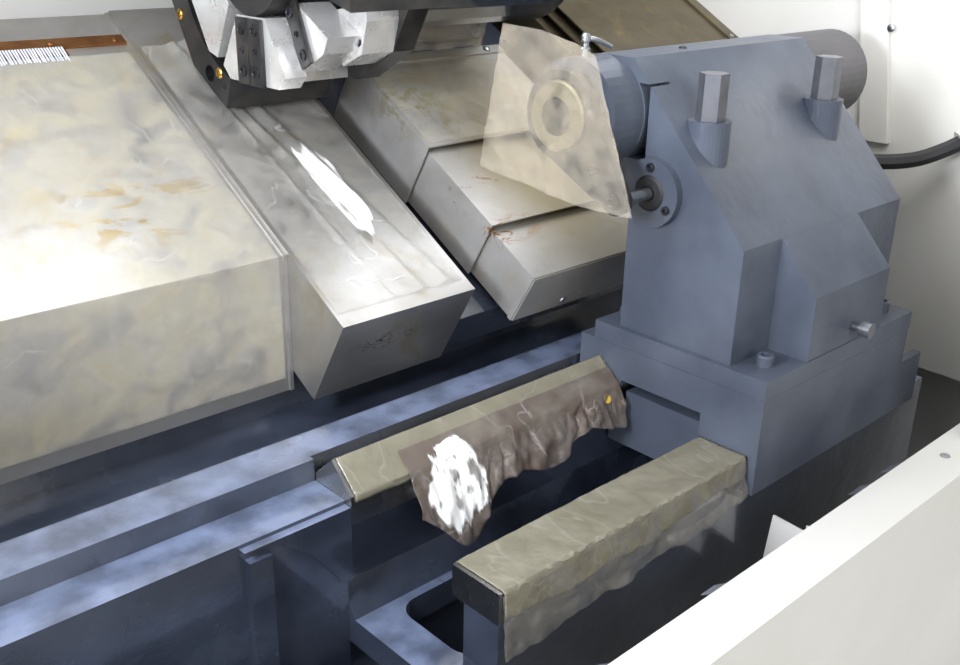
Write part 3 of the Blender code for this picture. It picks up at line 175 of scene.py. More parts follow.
def satin_stainless(name, marks=(), bare=0.85, dull=0.0, tones=("#C2C0BC", "#A9A6A0")):
    """Folded stainless sheet: a rolled satin grain, packing oil gone yellow, and marks at their own places.

    A mark has a centre, a reach, a colour, a size in millimetres, and a share of noise below which it stops."""
    made, tree, shader, place = start_material(name, Metallic=bare)
    grain = speckle(tree, place, 60, 4.0, (1.0, 60.0, 60.0))
    cloud = speckle(tree, place, 110, 4.0, (0.6, 1.0, 1.0), 0.6, 0.4)
    tone = blend_colour(tree, ramp(tree, cloud, (0.32, 0.0), (0.70, 1.0)), *tones)
    oil = ramp(tree, speckle(tree, place, 75, 5.0, (1.0, 0.8, 0.8), 0.62, 0.8), (0.56, 0.0), (0.74, 0.55))
    tone = blend_colour(tree, oil, tone, "#A8935C")
    for centre, reach, colour, size_mm, low in marks:
        spots = ramp(tree, speckle(tree, place, size_mm, 6.0, (0.5, 1.0, 1.0), 0.7, 1.5), (low, 0.0),
                     (low + 0.05, 1.0))
        share = add_node(tree, "ShaderNodeMath", {0: spots, 1: patch(tree, place, centre, reach)},
                         operation="MULTIPLY").outputs[0]
        tone = blend_colour(tree, share, tone, colour)
    tree.links.new(tone, shader.inputs["Base Color"])
    rough = add_node(tree, "ShaderNodeMath", {0: grain, 1: 0.16, 2: 0.24 + dull},
                     operation="MULTIPLY_ADD").outputs[0]
    rough = add_node(tree, "ShaderNodeMath", {0: oil, 1: 0.18, 2: rough}, operation="MULTIPLY_ADD").outputs[0]
    tree.links.new(rough, shader.inputs["Roughness"])
    dents = relief(tree, shader, speckle(tree, place, 160, 1.0), 0.5, 1.0)
    relief(tree, shader, grain, 0.3, 0.02, dents)
    return made


def machined_steel(name, light, dark, roughness, line_mm, metallic=1.0):
    """Ground or milled steel: fine parallel tool marks, cloudy with a film of oil."""
    made, tree, shader, place = start_material(name, Metallic=metallic)
    cloud = speckle(tree, place, 45, 4.0)
    lines = speckle(tree, place, line_mm, 2.0, (1.0, 0.05, 1.0))
    tree.links.new(blend_colour(tree, ramp(tree, cloud, (0.35, 0.0), (0.68, 1.0)), light, dark),
                   shader.inputs["Base Color"])
    tree.links.new(ramp(tree, cloud, (0.2, roughness - 0.06), (0.8, roughness + 0.10)), shader.inputs["Roughness"])
    relief(tree, shader, lines, 0.4, 0.05)
    return made


def powder_coat(name, colour, shade):
    """Baked powder coat on sheet steel: soft, even, with a very fine skin like an eggshell."""
    made, tree, shader, place = start_material(name, IOR=1.5)
    cloud = ramp(tree, speckle(tree, place, 300, 3.0), (0.35, 0.0), (0.75, 1.0))
    tree.links.new(blend_colour(tree, cloud, colour, shade), shader.inputs["Base Color"])
    tree.links.new(ramp(tree, speckle(tree, place, 90, 3.0), (0.3, 0.36), (0.8, 0.48)), shader.inputs["Roughness"])
    relief(tree, shader, speckle(tree, place, 2.5, 1.0), 0.5, 0.05)
    return made


def rubber(name, colour):
    """Extruded rubber: near black, dull, with a fine moulded texture."""
    made, tree, shader, place = start_material(name, IOR=1.5)
    cloud = ramp(tree, speckle(tree, place, 30, 4.0), (0.3, 0.0), (0.75, 1.0))
    tree.links.new(blend_colour(tree, cloud, colour, "#2A2A2C"), shader.inputs["Base Color"])
    tree.links.new(ramp(tree, cloud, (0.0, 0.50), (1.0, 0.66)), shader.inputs["Roughness"])
    relief(tree, shader, speckle(tree, place, 1.6, 1.0), 0.6, 0.05)
    return made


def plastic(name, colour, shade, roughness):
    """Moulded plastic with a fine even grain."""
    made, tree, shader, place = start_material(name, IOR=1.46)
    cloud = ramp(tree, speckle(tree, place, 25, 3.0), (0.3, 0.0), (0.8, 1.0))
    tree.links.new(blend_colour(tree, cloud, colour, shade), shader.inputs["Base Color"])
    tree.links.new(ramp(tree, cloud, (0.0, roughness), (1.0, roughness + 0.08)), shader.inputs["Roughness"])
    relief(tree, shader, speckle(tree, place, 1.2, 1.0), 0.4, 0.03)
    return made


def packing_film(name, colour, tint, clear, cover, crease_mm, crease, line=0.12, painted_glare=None):
    """Thin polythene or waxed paper on the new machine: see-through and glossy, with painted highlights as light
    lines along its folds.

    A glare has a centre, a reach and a stretch: a ragged white patch of painted glare, a painted reflection where
    the film catches the light."""
    made, tree, shader, place = start_material(name, IOR=1.5, Metallic=0.0)
    cloud = speckle(tree, place, 55, 5.0, twist=0.6)
    long_folds = speckle(tree, place, crease_mm * 5, 3.0, (1.0, 0.35, 1.0), 0.5, 0.3)
    beside = add_node(tree, "ShaderNodeMath", {0: long_folds, 1: 0.5}, operation="SUBTRACT").outputs[0]
    edge = add_node(tree, "ShaderNodeMath", {0: beside}, operation="ABSOLUTE").outputs[0]
    # Light lines along the folds: painted highlights
    painted_glints = ramp(tree, edge, (0.0, line), (0.010, 0.0))
    # Painted glare: a ragged white patch round a centre, broken up by the folds
    if painted_glare:
        centre, reach, stretch = painted_glare
        near = patch(tree, place, centre, reach)
        ragged = speckle(tree, place, 42, 3.0, stretch, 0.6, 0.5)
        glare_reach = add_node(tree, "ShaderNodeMath", {0: near, 1: 0.48, 2: ragged}, operation="MULTIPLY_ADD").outputs[0]
        glare_patch = ramp(tree, glare_reach, (0.86, 0.0), (0.91, 1.0))
        glare_breakup = ramp(tree, speckle(tree, place, 16, 2.0, stretch), (0.34, 0.30), (0.42, 1.0))
        glare_share = add_node(tree, "ShaderNodeMath", {0: glare_patch, 1: glare_breakup}, operation="MULTIPLY").outputs[0]
        painted_glints = add_node(tree, "ShaderNodeMath", {0: painted_glints, 1: glare_share}, operation="MAXIMUM").outputs[0]
    tone = blend_colour(tree, ramp(tree, cloud, (0.3, 0.0), (0.75, 1.0)), colour, tint)
    tree.links.new(blend_colour(tree, painted_glints, tone, "#EEEEEC"), shader.inputs["Base Color"])
    sheet = ramp(tree, cloud, (0.30, clear), (0.72, cover))
    tree.links.new(add_node(tree, "ShaderNodeMath", {0: sheet, 1: painted_glints}, operation="MAXIMUM").outputs[0],
                   shader.inputs["Alpha"])
    tree.links.new(ramp(tree, cloud, (0.2, 0.10), (0.8, 0.24)), shader.inputs["Roughness"])
    wide_folds = speckle(tree, place, crease_mm * 4, 3.0, rough=0.6, twist=1.8)
    fine_folds = speckle(tree, place, crease_mm, 4.0, rough=0.7, twist=2.5)
    relief(tree, shader, fine_folds, 1.0, crease, relief(tree, shader, wide_folds, 1.0, crease * 2.5))
    return made


# Blue-grey enamel on the tailstock, headstock and base: satin, with a fine orange peel
BLUE = enamel("satin_blue_grey_enamel", "#454B57", "#5B626E", 0.34, 3.0, 0.10, 1.4)
# Dark grey enamel on the cap behind the tailstock
CAP = enamel("dark_grey_enamel", "#3E3D40", "#514F52", 0.40, 3.0, 0.08, 0.6)
# Dark navy enamel on the bed: glossier, with a coarse orange peel that breaks up reflections; the open faces in
# front that look up are painted lighter and bluer: painted light and a painted reflection of the bright front
NAVY = enamel("gloss_navy_enamel", "#272C38", "#3F4654", 0.22, 4.0, 0.26, 1.8, 0.9, "#747F99")
# Satin stainless on the long cover, with yellow oil on its slope
OIL_ON_COVER = ((0.10, 0.10, 1.03), (0.20, 0.10, 0.08), "#A98F4C", 60, 0.52)
COVER = satin_stainless("satin_stainless_cover", (OIL_ON_COVER,))
# Brighter on the narrow cover, with rusty scratches low on its front
RUST_ON_NOSE = ((0.345, -0.127, 0.848), (0.075, 0.02, 0.022), "#5C3A1E", 9, 0.53)
NOSE = satin_stainless("satin_stainless_nose", (RUST_ON_NOSE,), 0.9, 0.0)
# Duller on the cross slide's covers: a film of olive oil, rust at both joints, and a yellow stain
STAGE_MARKS = (((0.75, 0.0, 1.04), (0.19, 0.40, 0.30), "#8E8368", 60, 0.0),
               ((0.585, -0.02, 1.010), (0.14, 0.02, 0.04), "#8A5A2A", 26, 0.56),
               ((0.575, -0.11, 0.960), (0.12, 0.03, 0.03), "#94652C", 20, 0.54),
               ((0.62, 0.12, 1.120), (0.10, 0.12, 0.08), "#8F8450", 55, 0.52))
STAGES = satin_stainless("satin_stainless_stages", STAGE_MARKS, 0.55, 0.12)
# The far covers under their old oil: dark olive brown
OILED = satin_stainless("oiled_stainless_cover", (), 0.8, 0.05, ("#7A705A", "#5D5440"))
# Ground steel on ways, rails, spindle, chuck and rod: bright, with fine parallel lines
GROUND = machined_steel("ground_steel", "#C9C9C7", "#A9A8A4", 0.24, 1.5)
# Milled steel on the tool blocks: paler, its cutter marks half hidden by oil
MILLED = machined_steel("milled_steel_tool_blocks", "#DAD9D6", "#BEBDBA", 0.24, 2.5, 0.6)
# Blackened steel on the turret, jaws and screws: dark, with worn brown tones
BLACKENED = machined_steel("blackened_steel", "#3A3B3E", "#55524F", 0.38, 2.0, 0.85)
SCREW = machined_steel("blackened_screw_steel", "#2C2D2F", "#45454A", 0.34, 1.5, 0.8)
# Dull steel on the clamp bolts, zinc on small screws, and copper, brass and an oiled ring for small parts
BOLT = machined_steel("dull_bolt_steel", "#86878C", "#6A6C72", 0.34, 2.0, 0.75)
ZINC = machined_steel("zinc_plated_steel", "#C5C8CB", "#9FA3A8", 0.26, 1.5)
COPPER = machined_steel("dull_copper_strip", "#A9774B", "#7E5230", 0.36, 2.0)
BRASS = machined_steel("turned_brass", "#C9A55A", "#9C7C3C", 0.26, 1.5)
OLIVE_RING = machined_steel("oiled_quill_face", "#B5B08E", "#8F8A66", 0.30, 1.2)
# Off-white powder coat on the casing, grey on the control box: matt and even
WHITE = powder_coat("off_white_powder_coat", "#D9D7D1", "#D0CEC6")
GREY = powder_coat("grey_powder_coat", "#8A8D90", "#808386")
# Black rubber on the hose and the belt, and the moulded plastics
HOSE = rubber("black_hose_rubber", "#1C1C1E")
BRUSH = plastic("white_nylon_brush", "#D9DCE2", "#B9BFCC", 0.55)
RED = plastic("red_button_plastic", "#B3221C", "#A11C17", 0.30)
SCREEN = plastic("dark_screen_plastic", "#14181B", "#1B2024", 0.12)
YELLOW = plastic("yellow_paper_dot", "#D9B54A", "#CDA63C", 0.50)
# Tape, films and papers: the more they cover, the more layers they stand for
TAPE = packing_film("grey_packing_tape", "#8F929A", "#7C8088", 0.75, 0.92, 9, 0.4)
FILM = packing_film("clear_polythene_film", "#D8CFBE", "#B9AC94", 0.08, 0.36, 20, 1.0)
THIN_FILM = packing_film("thin_laid_film", "#EFEBE0", "#D9CFAE", 0.03, 0.22, 26, 1.4, 0.16)
# The loose film on the narrow cover carries a painted highlight: a white streak of glare across its slope
NOSE_FILM = packing_film("loose_laid_film", "#E4E2DC", "#BDB9AE", 0.02, 0.20, 22, 1.2, 0.20,
                         ((0.388, 0.040, 1.014), (0.050, 0.20, 0.15), (1.0, 0.16, 0.16)))
WAX_PAPER = packing_film("waxed_paper", "#8F8A78", "#6E6A5A", 0.80, 0.95, 20, 0.6, 0.08)
HANGING_FILM = packing_film("hanging_film", "#A9A69F", "#7D786F", 0.10, 0.50, 16, 1.0, 0.25)
# The film hanging off the rear way carries a painted reflection: a white patch of glare on its left part
REAR_FILM = packing_film("glare_painted_hanging_film", "#8E857C", "#5F4F45", 0.30, 0.72, 20, 0.9, 0.2,
                         ((0.300, -0.330, 0.715), (0.095, 0.09, 0.12), (1.0, 0.5, 0.35)))


def clear_glass():
    """Float glass of the door window: clear, faintly grey-green, sharp reflections."""
    made, tree, shader, place = start_material("clear_window_glass", IOR=1.5)
    tree.links.new(ramp(tree, speckle(tree, place, 200, 3.0), (0.3, 0.03), (0.8, 0.07)), shader.inputs["Roughness"])
    shader.inputs["Base Color"].default_value = linear("#9FACAB")
    shader.inputs["Alpha"].default_value = 0.35
    return made


GLASS = clear_glass()

FINISHES = {
    BLUE: ("base", "chip_pan", "headstock", "spindle_motor", "tail_sole", "tail_body", "tail_clamp_plate",
           "guide_flange"),
    CAP: ("tail_end_cap",),
    NAVY: ("bed_casting", "saddle", "cross_slide", "turret_housing"),
    GROUND: ("front_way", "rear_way", "front_rail", "rear_rail", "front_bearing", "rear_bearing", "spindle",
             "chuck", "guide_rod"),
    BOLT: ("clamp_bolt_1", "clamp_bolt_2", "adjusting_screw"),
    MILLED: ("tool_block_1", "tool_block_2", "tool_block_3", "bar_holder"),
    OLIVE_RING: ("quill",),
    BLACKENED: ("turret_disc", "chuck_jaw_1", "chuck_jaw_2", "chuck_jaw_3", "spindle_pulley", "motor_pulley",
                "quill_arm"),
    COVER: ("left_way_cover",),
    OILED: ("right_cover_inner", "right_cover_middle", "right_cover_outer"),
    NOSE: ("nose_cover",),
    STAGES: ("stage_cover_upper", "stage_cover_middle", "stage_cover_lower"),
    COPPER: ("joint_strip",),
    WHITE: ("front_skirt", "left_corner_panel", "right_corner_panel", "rear_panel", "roof", "door_header",
            "inner_wall", "door_leading", "door_trailing"),
    GREY: ("control_box",),
    HOSE: ("drive_belt", "tail_hose"),
    RED: ("stop_button",),
    GLASS: ("door_pane",),
}
for finish, nodes in FINISHES.items():
    for node_name in nodes:
        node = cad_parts[node_name]
        if not node.material_slots:
            node.data.materials.append(finish)
        for holder in node.material_slots:
            holder.material = finish


# Making pieces

def new_piece(name, mesh, finish, body, smooth=True):
    """Turns a bmesh into a piece that rides on a body."""
    bmesh.ops.remove_doubles(mesh, verts=mesh.verts, dist=TOUCH)
    bmesh.ops.recalc_face_normals(mesh, faces=mesh.faces)
    data = bpy.data.meshes.new(name)
    mesh.to_mesh(data)
    mesh.free()
    data.materials.append(finish)
    if smooth:
        data.shade_smooth()
        data.set_sharp_from_angle(angle=math.radians(32))
    made = bpy.data.objects.new(name, data)
    bpy.context.scene.collection.objects.link(made)
    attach(made, body)
    return made


def standing(point, direction):
    """Matrix that stands local Z along a direction at a point."""
    turn = Vector((0, 0, 1)).rotation_difference(Vector(direction)).to_matrix().to_4x4()
    return Matrix.Translation(point) @ turn


def turn_profile(mesh, profile, point, direction, sides=28):
    """Adds a turned shape: (radius, height) points spun round a direction at a point."""
    shape = bmesh.new()
    ring = [shape.verts.new((radius, 0, height)) for radius, height in profile]
    edges = [shape.edges.new(pair) for pair in zip(ring, ring[1:])]
    bmesh.ops.spin(shape, geom=ring + edges, cent=(0, 0, 0), axis=(0, 0, 1), angle=2 * math.pi,
                   steps=sides, use_merge=True)
    bmesh.ops.remove_doubles(shape, verts=shape.verts, dist=TOUCH)
    bmesh.ops.transform(shape, matrix=standing(point, direction), verts=shape.verts)
    data = bpy.data.meshes.new("turned_shape")
    shape.to_mesh(data)
    shape.free()
    mesh.from_mesh(data)
    bpy.data.meshes.remove(data)


def socket_screw(mesh, point, direction, radius, high):
    """Adds a cap screw head with a round edge and a socket."""
    edge, hole = radius * 0.14, radius * 0.48
    profile = ((0, 0), (radius, 0), (radius, high - edge), (radius - edge * 0.3, high - edge * 0.3),
               (radius - edge, high), (hole + edge * 0.4, high), (hole, high - edge * 0.4),
               (hole, high * 0.35), (0, high * 0.30))
    turn_profile(mesh, profile, point, direction)


def dome_screw(mesh, point, direction, radius, high):
    """Adds a low button head."""
    profile = [(0, 0), (radius, 0)]
    profile += [(radius * math.cos(math.radians(a)), high * (0.25 + 0.75 * math.sin(math.radians(a))))
                for a in (0, 25, 50, 70)]
    turn_profile(mesh, profile + [(0, high)], point, direction, 24)


def slab(mesh, outline, lift, bevel=0.0012):
    """Adds a plate: an outline of 3-D points, thickened by a vector, with its edges broken."""
    corners = [mesh.verts.new(p) for p in outline]
    face = mesh.faces.new(corners)
    moved = bmesh.ops.extrude_face_region(mesh, geom=[face])["geom"]
    fresh = [g for g in moved if isinstance(g, bmesh.types.BMVert)]
    bmesh.ops.translate(mesh, verts=fresh, vec=lift)
    edges = list({e for v in corners + fresh for e in v.link_edges})
    if bevel:
        bmesh.ops.bevel(mesh, geom=edges, offset=bevel, segments=2, profile=0.5, affect="EDGES", material=-1)


def pipe(name, route, radius, finish, body):
    """A bent tube along a route, with round ends."""
    line = bpy.data.curves.new(name, "CURVE")
    line.dimensions = "3D"
    line.bevel_depth, line.bevel_resolution, line.use_fill_caps = radius, 4, True
    spline = line.splines.new("NURBS")
    spline.points.add(len(route) - 1)
    for point, place in zip(spline.points, route):
        point.co = (*place, 1.0)
    spline.order_u, spline.use_endpoint_u, spline.resolution_u = 3, True, 6
    guide = bpy.data.objects.new(name + "_line", line)
    bpy.context.scene.collection.objects.link(guide)
    bpy.context.view_layer.update()
    data = bpy.data.meshes.new_from_object(guide.evaluated_get(bpy.context.evaluated_depsgraph_get()))
    bpy.data.objects.remove(guide)
    mesh = bmesh.new()
    mesh.from_mesh(data)
    bpy.data.meshes.remove(data)
    return new_piece(name, mesh, finish, body)


def laid_sheet(name, across, along, place, finish, body, thick=0.0004):
    """A thin sheet: a grid whose points are set by a function of two shares from 0 to 1."""
    mesh = bmesh.new()
    bmesh.ops.create_grid(mesh, x_segments=across, y_segments=along, size=0.5)
    for vert in mesh.verts:
        vert.co = place(min(max(vert.co.x + 0.5, 0.0), 1.0), min(max(vert.co.y + 0.5, 0.0), 1.0))
    made = new_piece(name, mesh, finish, body)
    wall = made.modifiers.new("thickness", "SOLIDIFY")
    wall.thickness = thick
    wall.offset = 0.0
    return made


def crease(x, y, size_mm, deep_mm, seed=0.0):
    """Sharp folds of a sheet, never below its resting face."""
    point = Vector((x * 1000 / size_mm + seed, y * 1000 / size_mm + seed, seed))
    return abs(noise.fractal(point, 1.0, 2.0, 3)) * deep_mm / 1000


# Tool clamps on the turret's face; a fitting stands off its seat by a hair, so that their faces don't flicker
BLOCK_X, SECOND_X, HOLDER_X, DISC_X = 0.300, 0.338, 0.395, 0.300
HAIR = 0.0002
LEFT = Vector((-1, 0, 0))
PLATE = 0.0065
PLATE_TOP, PLATE_LOW = 1.275, 1.181
plates = bmesh.new()
screws = bmesh.new()
for near, far in ((0.1220, 0.1545), (0.0880, 0.1208)):
    corners = ((near, PLATE_LOW), (far, PLATE_LOW), (far, PLATE_TOP), (near, PLATE_TOP))
    slab(plates, [(BLOCK_X - HAIR, y, z) for y, z in corners], LEFT * PLATE, 0.0010)
    middle = (near + far) / 2
    for z, size in ((1.2595, 0.0088), (1.2000, 0.0088), (1.2300, 0.0045)):
        socket_screw(screws, (BLOCK_X - PLATE, middle, z), LEFT, size, 0.0030)
PLATE_CORNERS = ((0.0830, 1.2955), (0.0565, 1.3055), (0.0210, 1.2215), (0.0475, 1.2075))
slab(plates, [(SECOND_X - HAIR, y, z) for y, z in PLATE_CORNERS], LEFT * PLATE, 0.0010)
for y, z, size in ((0.0685, 1.2865, 0.0088), (0.0395, 1.2295, 0.0088), (0.0540, 1.2570, 0.0045)):
    socket_screw(screws, (SECOND_X - PLATE, y, z), LEFT, size, 0.0030)
new_piece("tool_clamp_plates", plates, BLACKENED, "turret_unit")
new_piece("tool_clamp_screws", screws, SCREW, "turret_unit")

# Coolant nozzles, a grub screw and the holder's set screws
nozzles = bmesh.new()
for y, z in ((0.3271, 1.2644), (0.2178, 1.1871)):
    turn_profile(nozzles, ((0, 0), (0.0085, 0), (0.0085, 0.0022), (0.0068, 0.0040), (0.0036, 0.0040),
                           (0.0034, 0.0010), (0, 0.0008)), (DISC_X - HAIR, y, z), LEFT, 24)
new_piece("coolant_nozzles", nozzles, BRASS, "turret_unit")
sets = bmesh.new()
socket_screw(sets, (DISC_X - HAIR, 0.2085, 1.1680), LEFT, 0.0045, 0.0015)
for y, z in ((0.0215, 1.2440), (-0.0060, 1.2480)):
    socket_screw(sets, (HOLDER_X - HAIR, y, z), LEFT, 0.0062, 0.0012)
new_piece("turret_set_screws", sets, SCREW, "turret_unit")

# Screws of the covers: those along the joint strip share one line
STRIP_S = -0.5895
cover_screws = bmesh.new()
for x, s in ((0.1218, STRIP_S), (0.2234, -0.5870), (-0.10, STRIP_S), (-0.32, STRIP_S)):
    dome_screw(cover_screws, slant(x, s, -0.2655), SLANT_OUT, 0.0055, 0.0026)
new_piece("joint_strip_screws", cover_screws, COPPER, "carriage")
stage_screws = bmesh.new()
for x in (0.6505, 0.8601):
    dome_screw(stage_screws, slant(x, -0.4105, -0.2094), SLANT_OUT, 0.0075, 0.0055)
new_piece("stage_strip_screws", stage_screws, ZINC, "cross_unit")
plate_screws = bmesh.new()
for x, n, size in ((0.6851, -0.3204, 0.0065), (0.7235, -0.3142, 0.0032)):
    dome_screw(plate_screws, slant(x, 0.0933, n), SLANT_DOWN, size, size * 0.5)
new_piece("front_plate_screws", plate_screws, ZINC, "carriage")
right_screws = bmesh.new()
for s in (-0.268, -0.45, -0.62):
    dome_screw(right_screws, slant(1.404, s, -0.1173), SLANT_OUT, 0.0055, 0.0028)
new_piece("right_cover_screws", right_screws, ZINC, "frame")

# Small fittings on the tailstock, round its guide rod and on its barrel
ROD_Y, ROD_Z = -0.343, 1.058
flange_screws = bmesh.new()
for angle in (90, 210, 330):
    across = Vector((0, math.cos(math.radians(angle)), math.sin(math.radians(angle)))) * 0.037
    socket_screw(flange_screws, Vector((0.6459, ROD_Y, ROD_Z)) + across, LEFT, 0.0062, 0.0048)
new_piece("guide_flange_screws", flange_screws, SCREW, "tailstock")
seal = bmesh.new()
turn_profile(seal, ((0.0112, 0), (0.0112, 0.003), (0.022, 0.003), (0.026, 0.0), (0.0112, 0)),
             (0.6458, ROD_Y, ROD_Z), LEFT, 32)
new_piece("guide_seal", seal, HOSE, "tailstock")
arm_screw = bmesh.new()
socket_screw(arm_screw, (0.5698, -0.3030, 1.0950), LEFT, 0.0075, 0.0055)
socket_screw(arm_screw, (0.5698, ROD_Y, ROD_Z), LEFT, 0.0110, 0.0060)
new_piece("quill_arm_screws", arm_screw, SCREW, "quill_unit")
fitting = bmesh.new()
turn_profile(fitting, ((0, 0), (0.0075, 0), (0.0075, 0.010), (0.005, 0.012), (0.005, 0.018), (0.0072, 0.020),
                       (0.0072, 0.027), (0.0045, 0.031), (0, 0.031)), (0.616, AXIS_Y, AXIS_Z + 0.0788),
             (0, 0, 1), 12)
new_piece("oil_nipple", fitting, ZINC, "tailstock")
pipe("oil_pipe", [(0.616, AXIS_Y, 1.2600), (0.622, AXIS_Y - 0.004, 1.2620), (0.640, AXIS_Y - 0.010, 1.2560),
                  (0.6575, AXIS_Y - 0.012, 1.2480)], 0.0035, ZINC, "tailstock")
plug = bmesh.new()
dome_screw(plug, (0.805, -0.262, 1.2379), (0, 0, 1), 0.006, 0.004)
new_piece("body_plug", plug, SCREW, "tailstock")

# Plugs, screws and tape on the casing
casing_screws = bmesh.new()
for x in (0.9450, 0.1000):
    dome_screw(casing_screws, (x, -0.7050, 0.6799), (0, 0, 1), 0.0075, 0.0030)
new_piece("sill_plugs", casing_screws, GREY, "frame")
post_screws = bmesh.new()
for y, z in ((-0.2856, 1.2362), (-0.2180, 1.5000)):
    dome_screw(post_screws, (1.4082, y, z), LEFT, 0.0075, 0.0030)
new_piece("wall_post_screws", post_screws, ZINC, "frame")
flags = bmesh.new()
for x, width in ((0.225, 0.040), (0.451, 0.036), (0.818, 0.044), (0.913, 0.040)):
    slab(flags, [(x - width / 2, -0.6718, 0.6650), (x + width / 2, -0.6718, 0.6650),
                 (x + width * 0.42, -0.6340, 0.6380), (x - width * 0.46, -0.6360, 0.6400)],
         (0, 0.0004, 0.0007), 0)
new_piece("tape_flags", flags, TAPE, "frame", False)
bracket = bmesh.new()
BRACKET_CORNERS = ((-0.6720, 0.6180), (-0.5800, 0.6240), (-0.5740, 0.5480), (-0.6720, 0.5700))
slab(bracket, [(0.6880, y, z) for y, z in BRACKET_CORNERS], (0.0040, 0, 0), 0.0008)
new_piece("sill_bracket", bracket, WHITE, "frame")
glass_front = bmesh.new()
SCREEN_CORNERS = ((1.132, 0.562), (1.408, 0.562), (1.408, 0.838), (1.132, 0.838))
slab(glass_front, [front(x, t, 0.0692) for x, t in SCREEN_CORNERS],
     Vector((0, -math.cos(LEAN), math.sin(LEAN))) * 0.003, 0.0008)
new_piece("control_screen", glass_front, SCREEN, "frame")

# White nylon brush under the joint strip, drawn as flat tufts
TUFTS, BRUSH_LEFT, TUFT_STEP = 150, -0.515, 0.00435
brush = bmesh.new()
for i in range(TUFTS):
    x = BRUSH_LEFT + i * TUFT_STEP
    tip = slant(x + 0.0008 * math.sin(i * 2.3), -0.5470 + 0.004 * noise.noise(Vector((i * 0.7, 0, 0))), -0.2668)
    root = slant(x, -0.5790, -0.2660), slant(x + 0.0026, -0.5790, -0.2660)
    slab(brush, [*root, tip + Vector((0.0018, 0, 0)), tip], SLANT_OUT * 0.0010, 0)
new_piece("strip_brush", brush, BRUSH, "carriage", False)

# Packing film and waxed paper; those on the ways ride on the frame
FRONT_WAY_TOP, FRONT_WAY_FRONT, FRONT_WAY_REAR = 0.722, -0.549, -0.470


def front_paper(u, v):
    """Waxed paper over the front way: rear turn-down, top, front turn-down."""
    x = WAY_LEFT + 0.006 + (SOLE_LEFT - WAY_LEFT - 0.010) * v
    hang = 0.040 + 0.022 * noise.noise(Vector((x * 9, 1.3, 0))) + 0.006 * noise.noise(Vector((x * 60, 0, 2)))
    rear, top = 0.012, FRONT_WAY_REAR - FRONT_WAY_FRONT
    along = u * (rear + top + hang)
    lift = FILM_LIFT + crease(x, along, 45, 1.4, 3.1)
    if along < rear:
        return Vector((x, FRONT_WAY_REAR + lift, FRONT_WAY_TOP - rear + along))
    if along < rear + top:
        return Vector((x, FRONT_WAY_REAR - (along - rear), FRONT_WAY_TOP + lift))
    down = along - rear - top
    return Vector((x, FRONT_WAY_FRONT - lift - down * 0.10, FRONT_WAY_TOP - down))


paper = laid_sheet("front_way_paper", 44, 130, front_paper, WAX_PAPER, "frame")
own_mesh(paper)


def front_film(u, v):
    """Clear film under the paper that hangs down the front of the way."""
    x = WAY_LEFT + 0.004 + (SOLE_LEFT - WAY_LEFT - 0.008) * v
    low = 0.088 + 0.018 * noise.noise(Vector((x * 8, 5.0, 0))) + 0.003 * noise.noise(Vector((x * 45, 0, 1)))
    low *= 1.0 - 0.35 * v
    out = 0.0020 + u * (0.005 + crease(x, u * 0.09, 60, 10.0, 8.2))
    return Vector((x, FRONT_WAY_FRONT - out, FRONT_WAY_TOP - 0.004 - low * u))


film = laid_sheet("front_way_film", 26, 150, front_film, HANGING_FILM, "frame")
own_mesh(film)

# The rear way's ridge and the lower edges of its two slopes
APEX_Y, APEX_Z, SIDE_Z, V_HALF = -0.276, 0.787, 0.751, 0.039


def rear_paper(u, v):
    """Waxed paper over both slopes of the rear way."""
    x = WAY_LEFT - 0.024 + (SOLE_LEFT - WAY_LEFT + 0.020) * v
    slope = math.hypot(V_HALF, APEX_Z - SIDE_Z)
    down = Vector((0, V_HALF, SIDE_Z - APEX_Z)).normalized()
    turn = 0.010 + 0.004 * noise.noise(Vector((x * 30, 0, 7)))
    along = (u - 0.5) * 2 * (slope + turn)
    side = 1 if along < 0 else -1
    reach = abs(along)
    lift = FILM_LIFT + crease(x, along, 50, 1.2, 6.4)
    out = Vector((0, side * (APEX_Z - SIDE_Z), V_HALF)).normalized()
    if reach <= slope:
        return Vector((x, APEX_Y, APEX_Z)) + Vector((0, side * down.y, down.z)) * reach + out * lift
    corner = Vector((x, APEX_Y + side * V_HALF, SIDE_Z)) + out * lift
    return corner + Vector((0, side * 0.0006, -(reach - slope)))


paper = laid_sheet("rear_way_paper", 36, 130, rear_paper, WAX_PAPER, "frame")
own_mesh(paper)


def rear_film(u, v):
    """Clear film that hangs off the front slope of the rear way in a ragged curtain."""
    x = WAY_LEFT + 0.060 + (SOLE_LEFT - WAY_LEFT - 0.064) * v
    peak = math.exp(-((v - 0.17) / 0.13) ** 2)
    low = 0.055 + 0.060 * peak + 0.020 * noise.noise(Vector((x * 10, 0, 4)))
    low += 0.003 * noise.noise(Vector((x * 45, 3, 0)))
    low += 0.015 * math.exp(-((v - 0.62) / 0.08) ** 2)
    start = Vector((x, APEX_Y - V_HALF * 0.45, APEX_Z - (APEX_Z - SIDE_Z) * 0.45 + 0.0034))
    edge = Vector((x, APEX_Y - V_HALF - 0.002, SIDE_Z + 0.0034))
    if u < 0.3:
        return start.lerp(edge, u / 0.3) + Vector((0, 0, crease(x, u * 0.1, 30, 1.5, 2.0)))
    share = (u - 0.3) / 0.7
    out = 0.045 * share * (0.45 + 0.55 * peak) + crease(x * 1.4, share * 0.05, 60, 16.0, 5.5) * min(1, share * 2)
    return edge + Vector((0, -out, -low * share))


film = laid_sheet("rear_way_film", 34, 170, rear_film, REAR_FILM, "frame")
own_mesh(film)

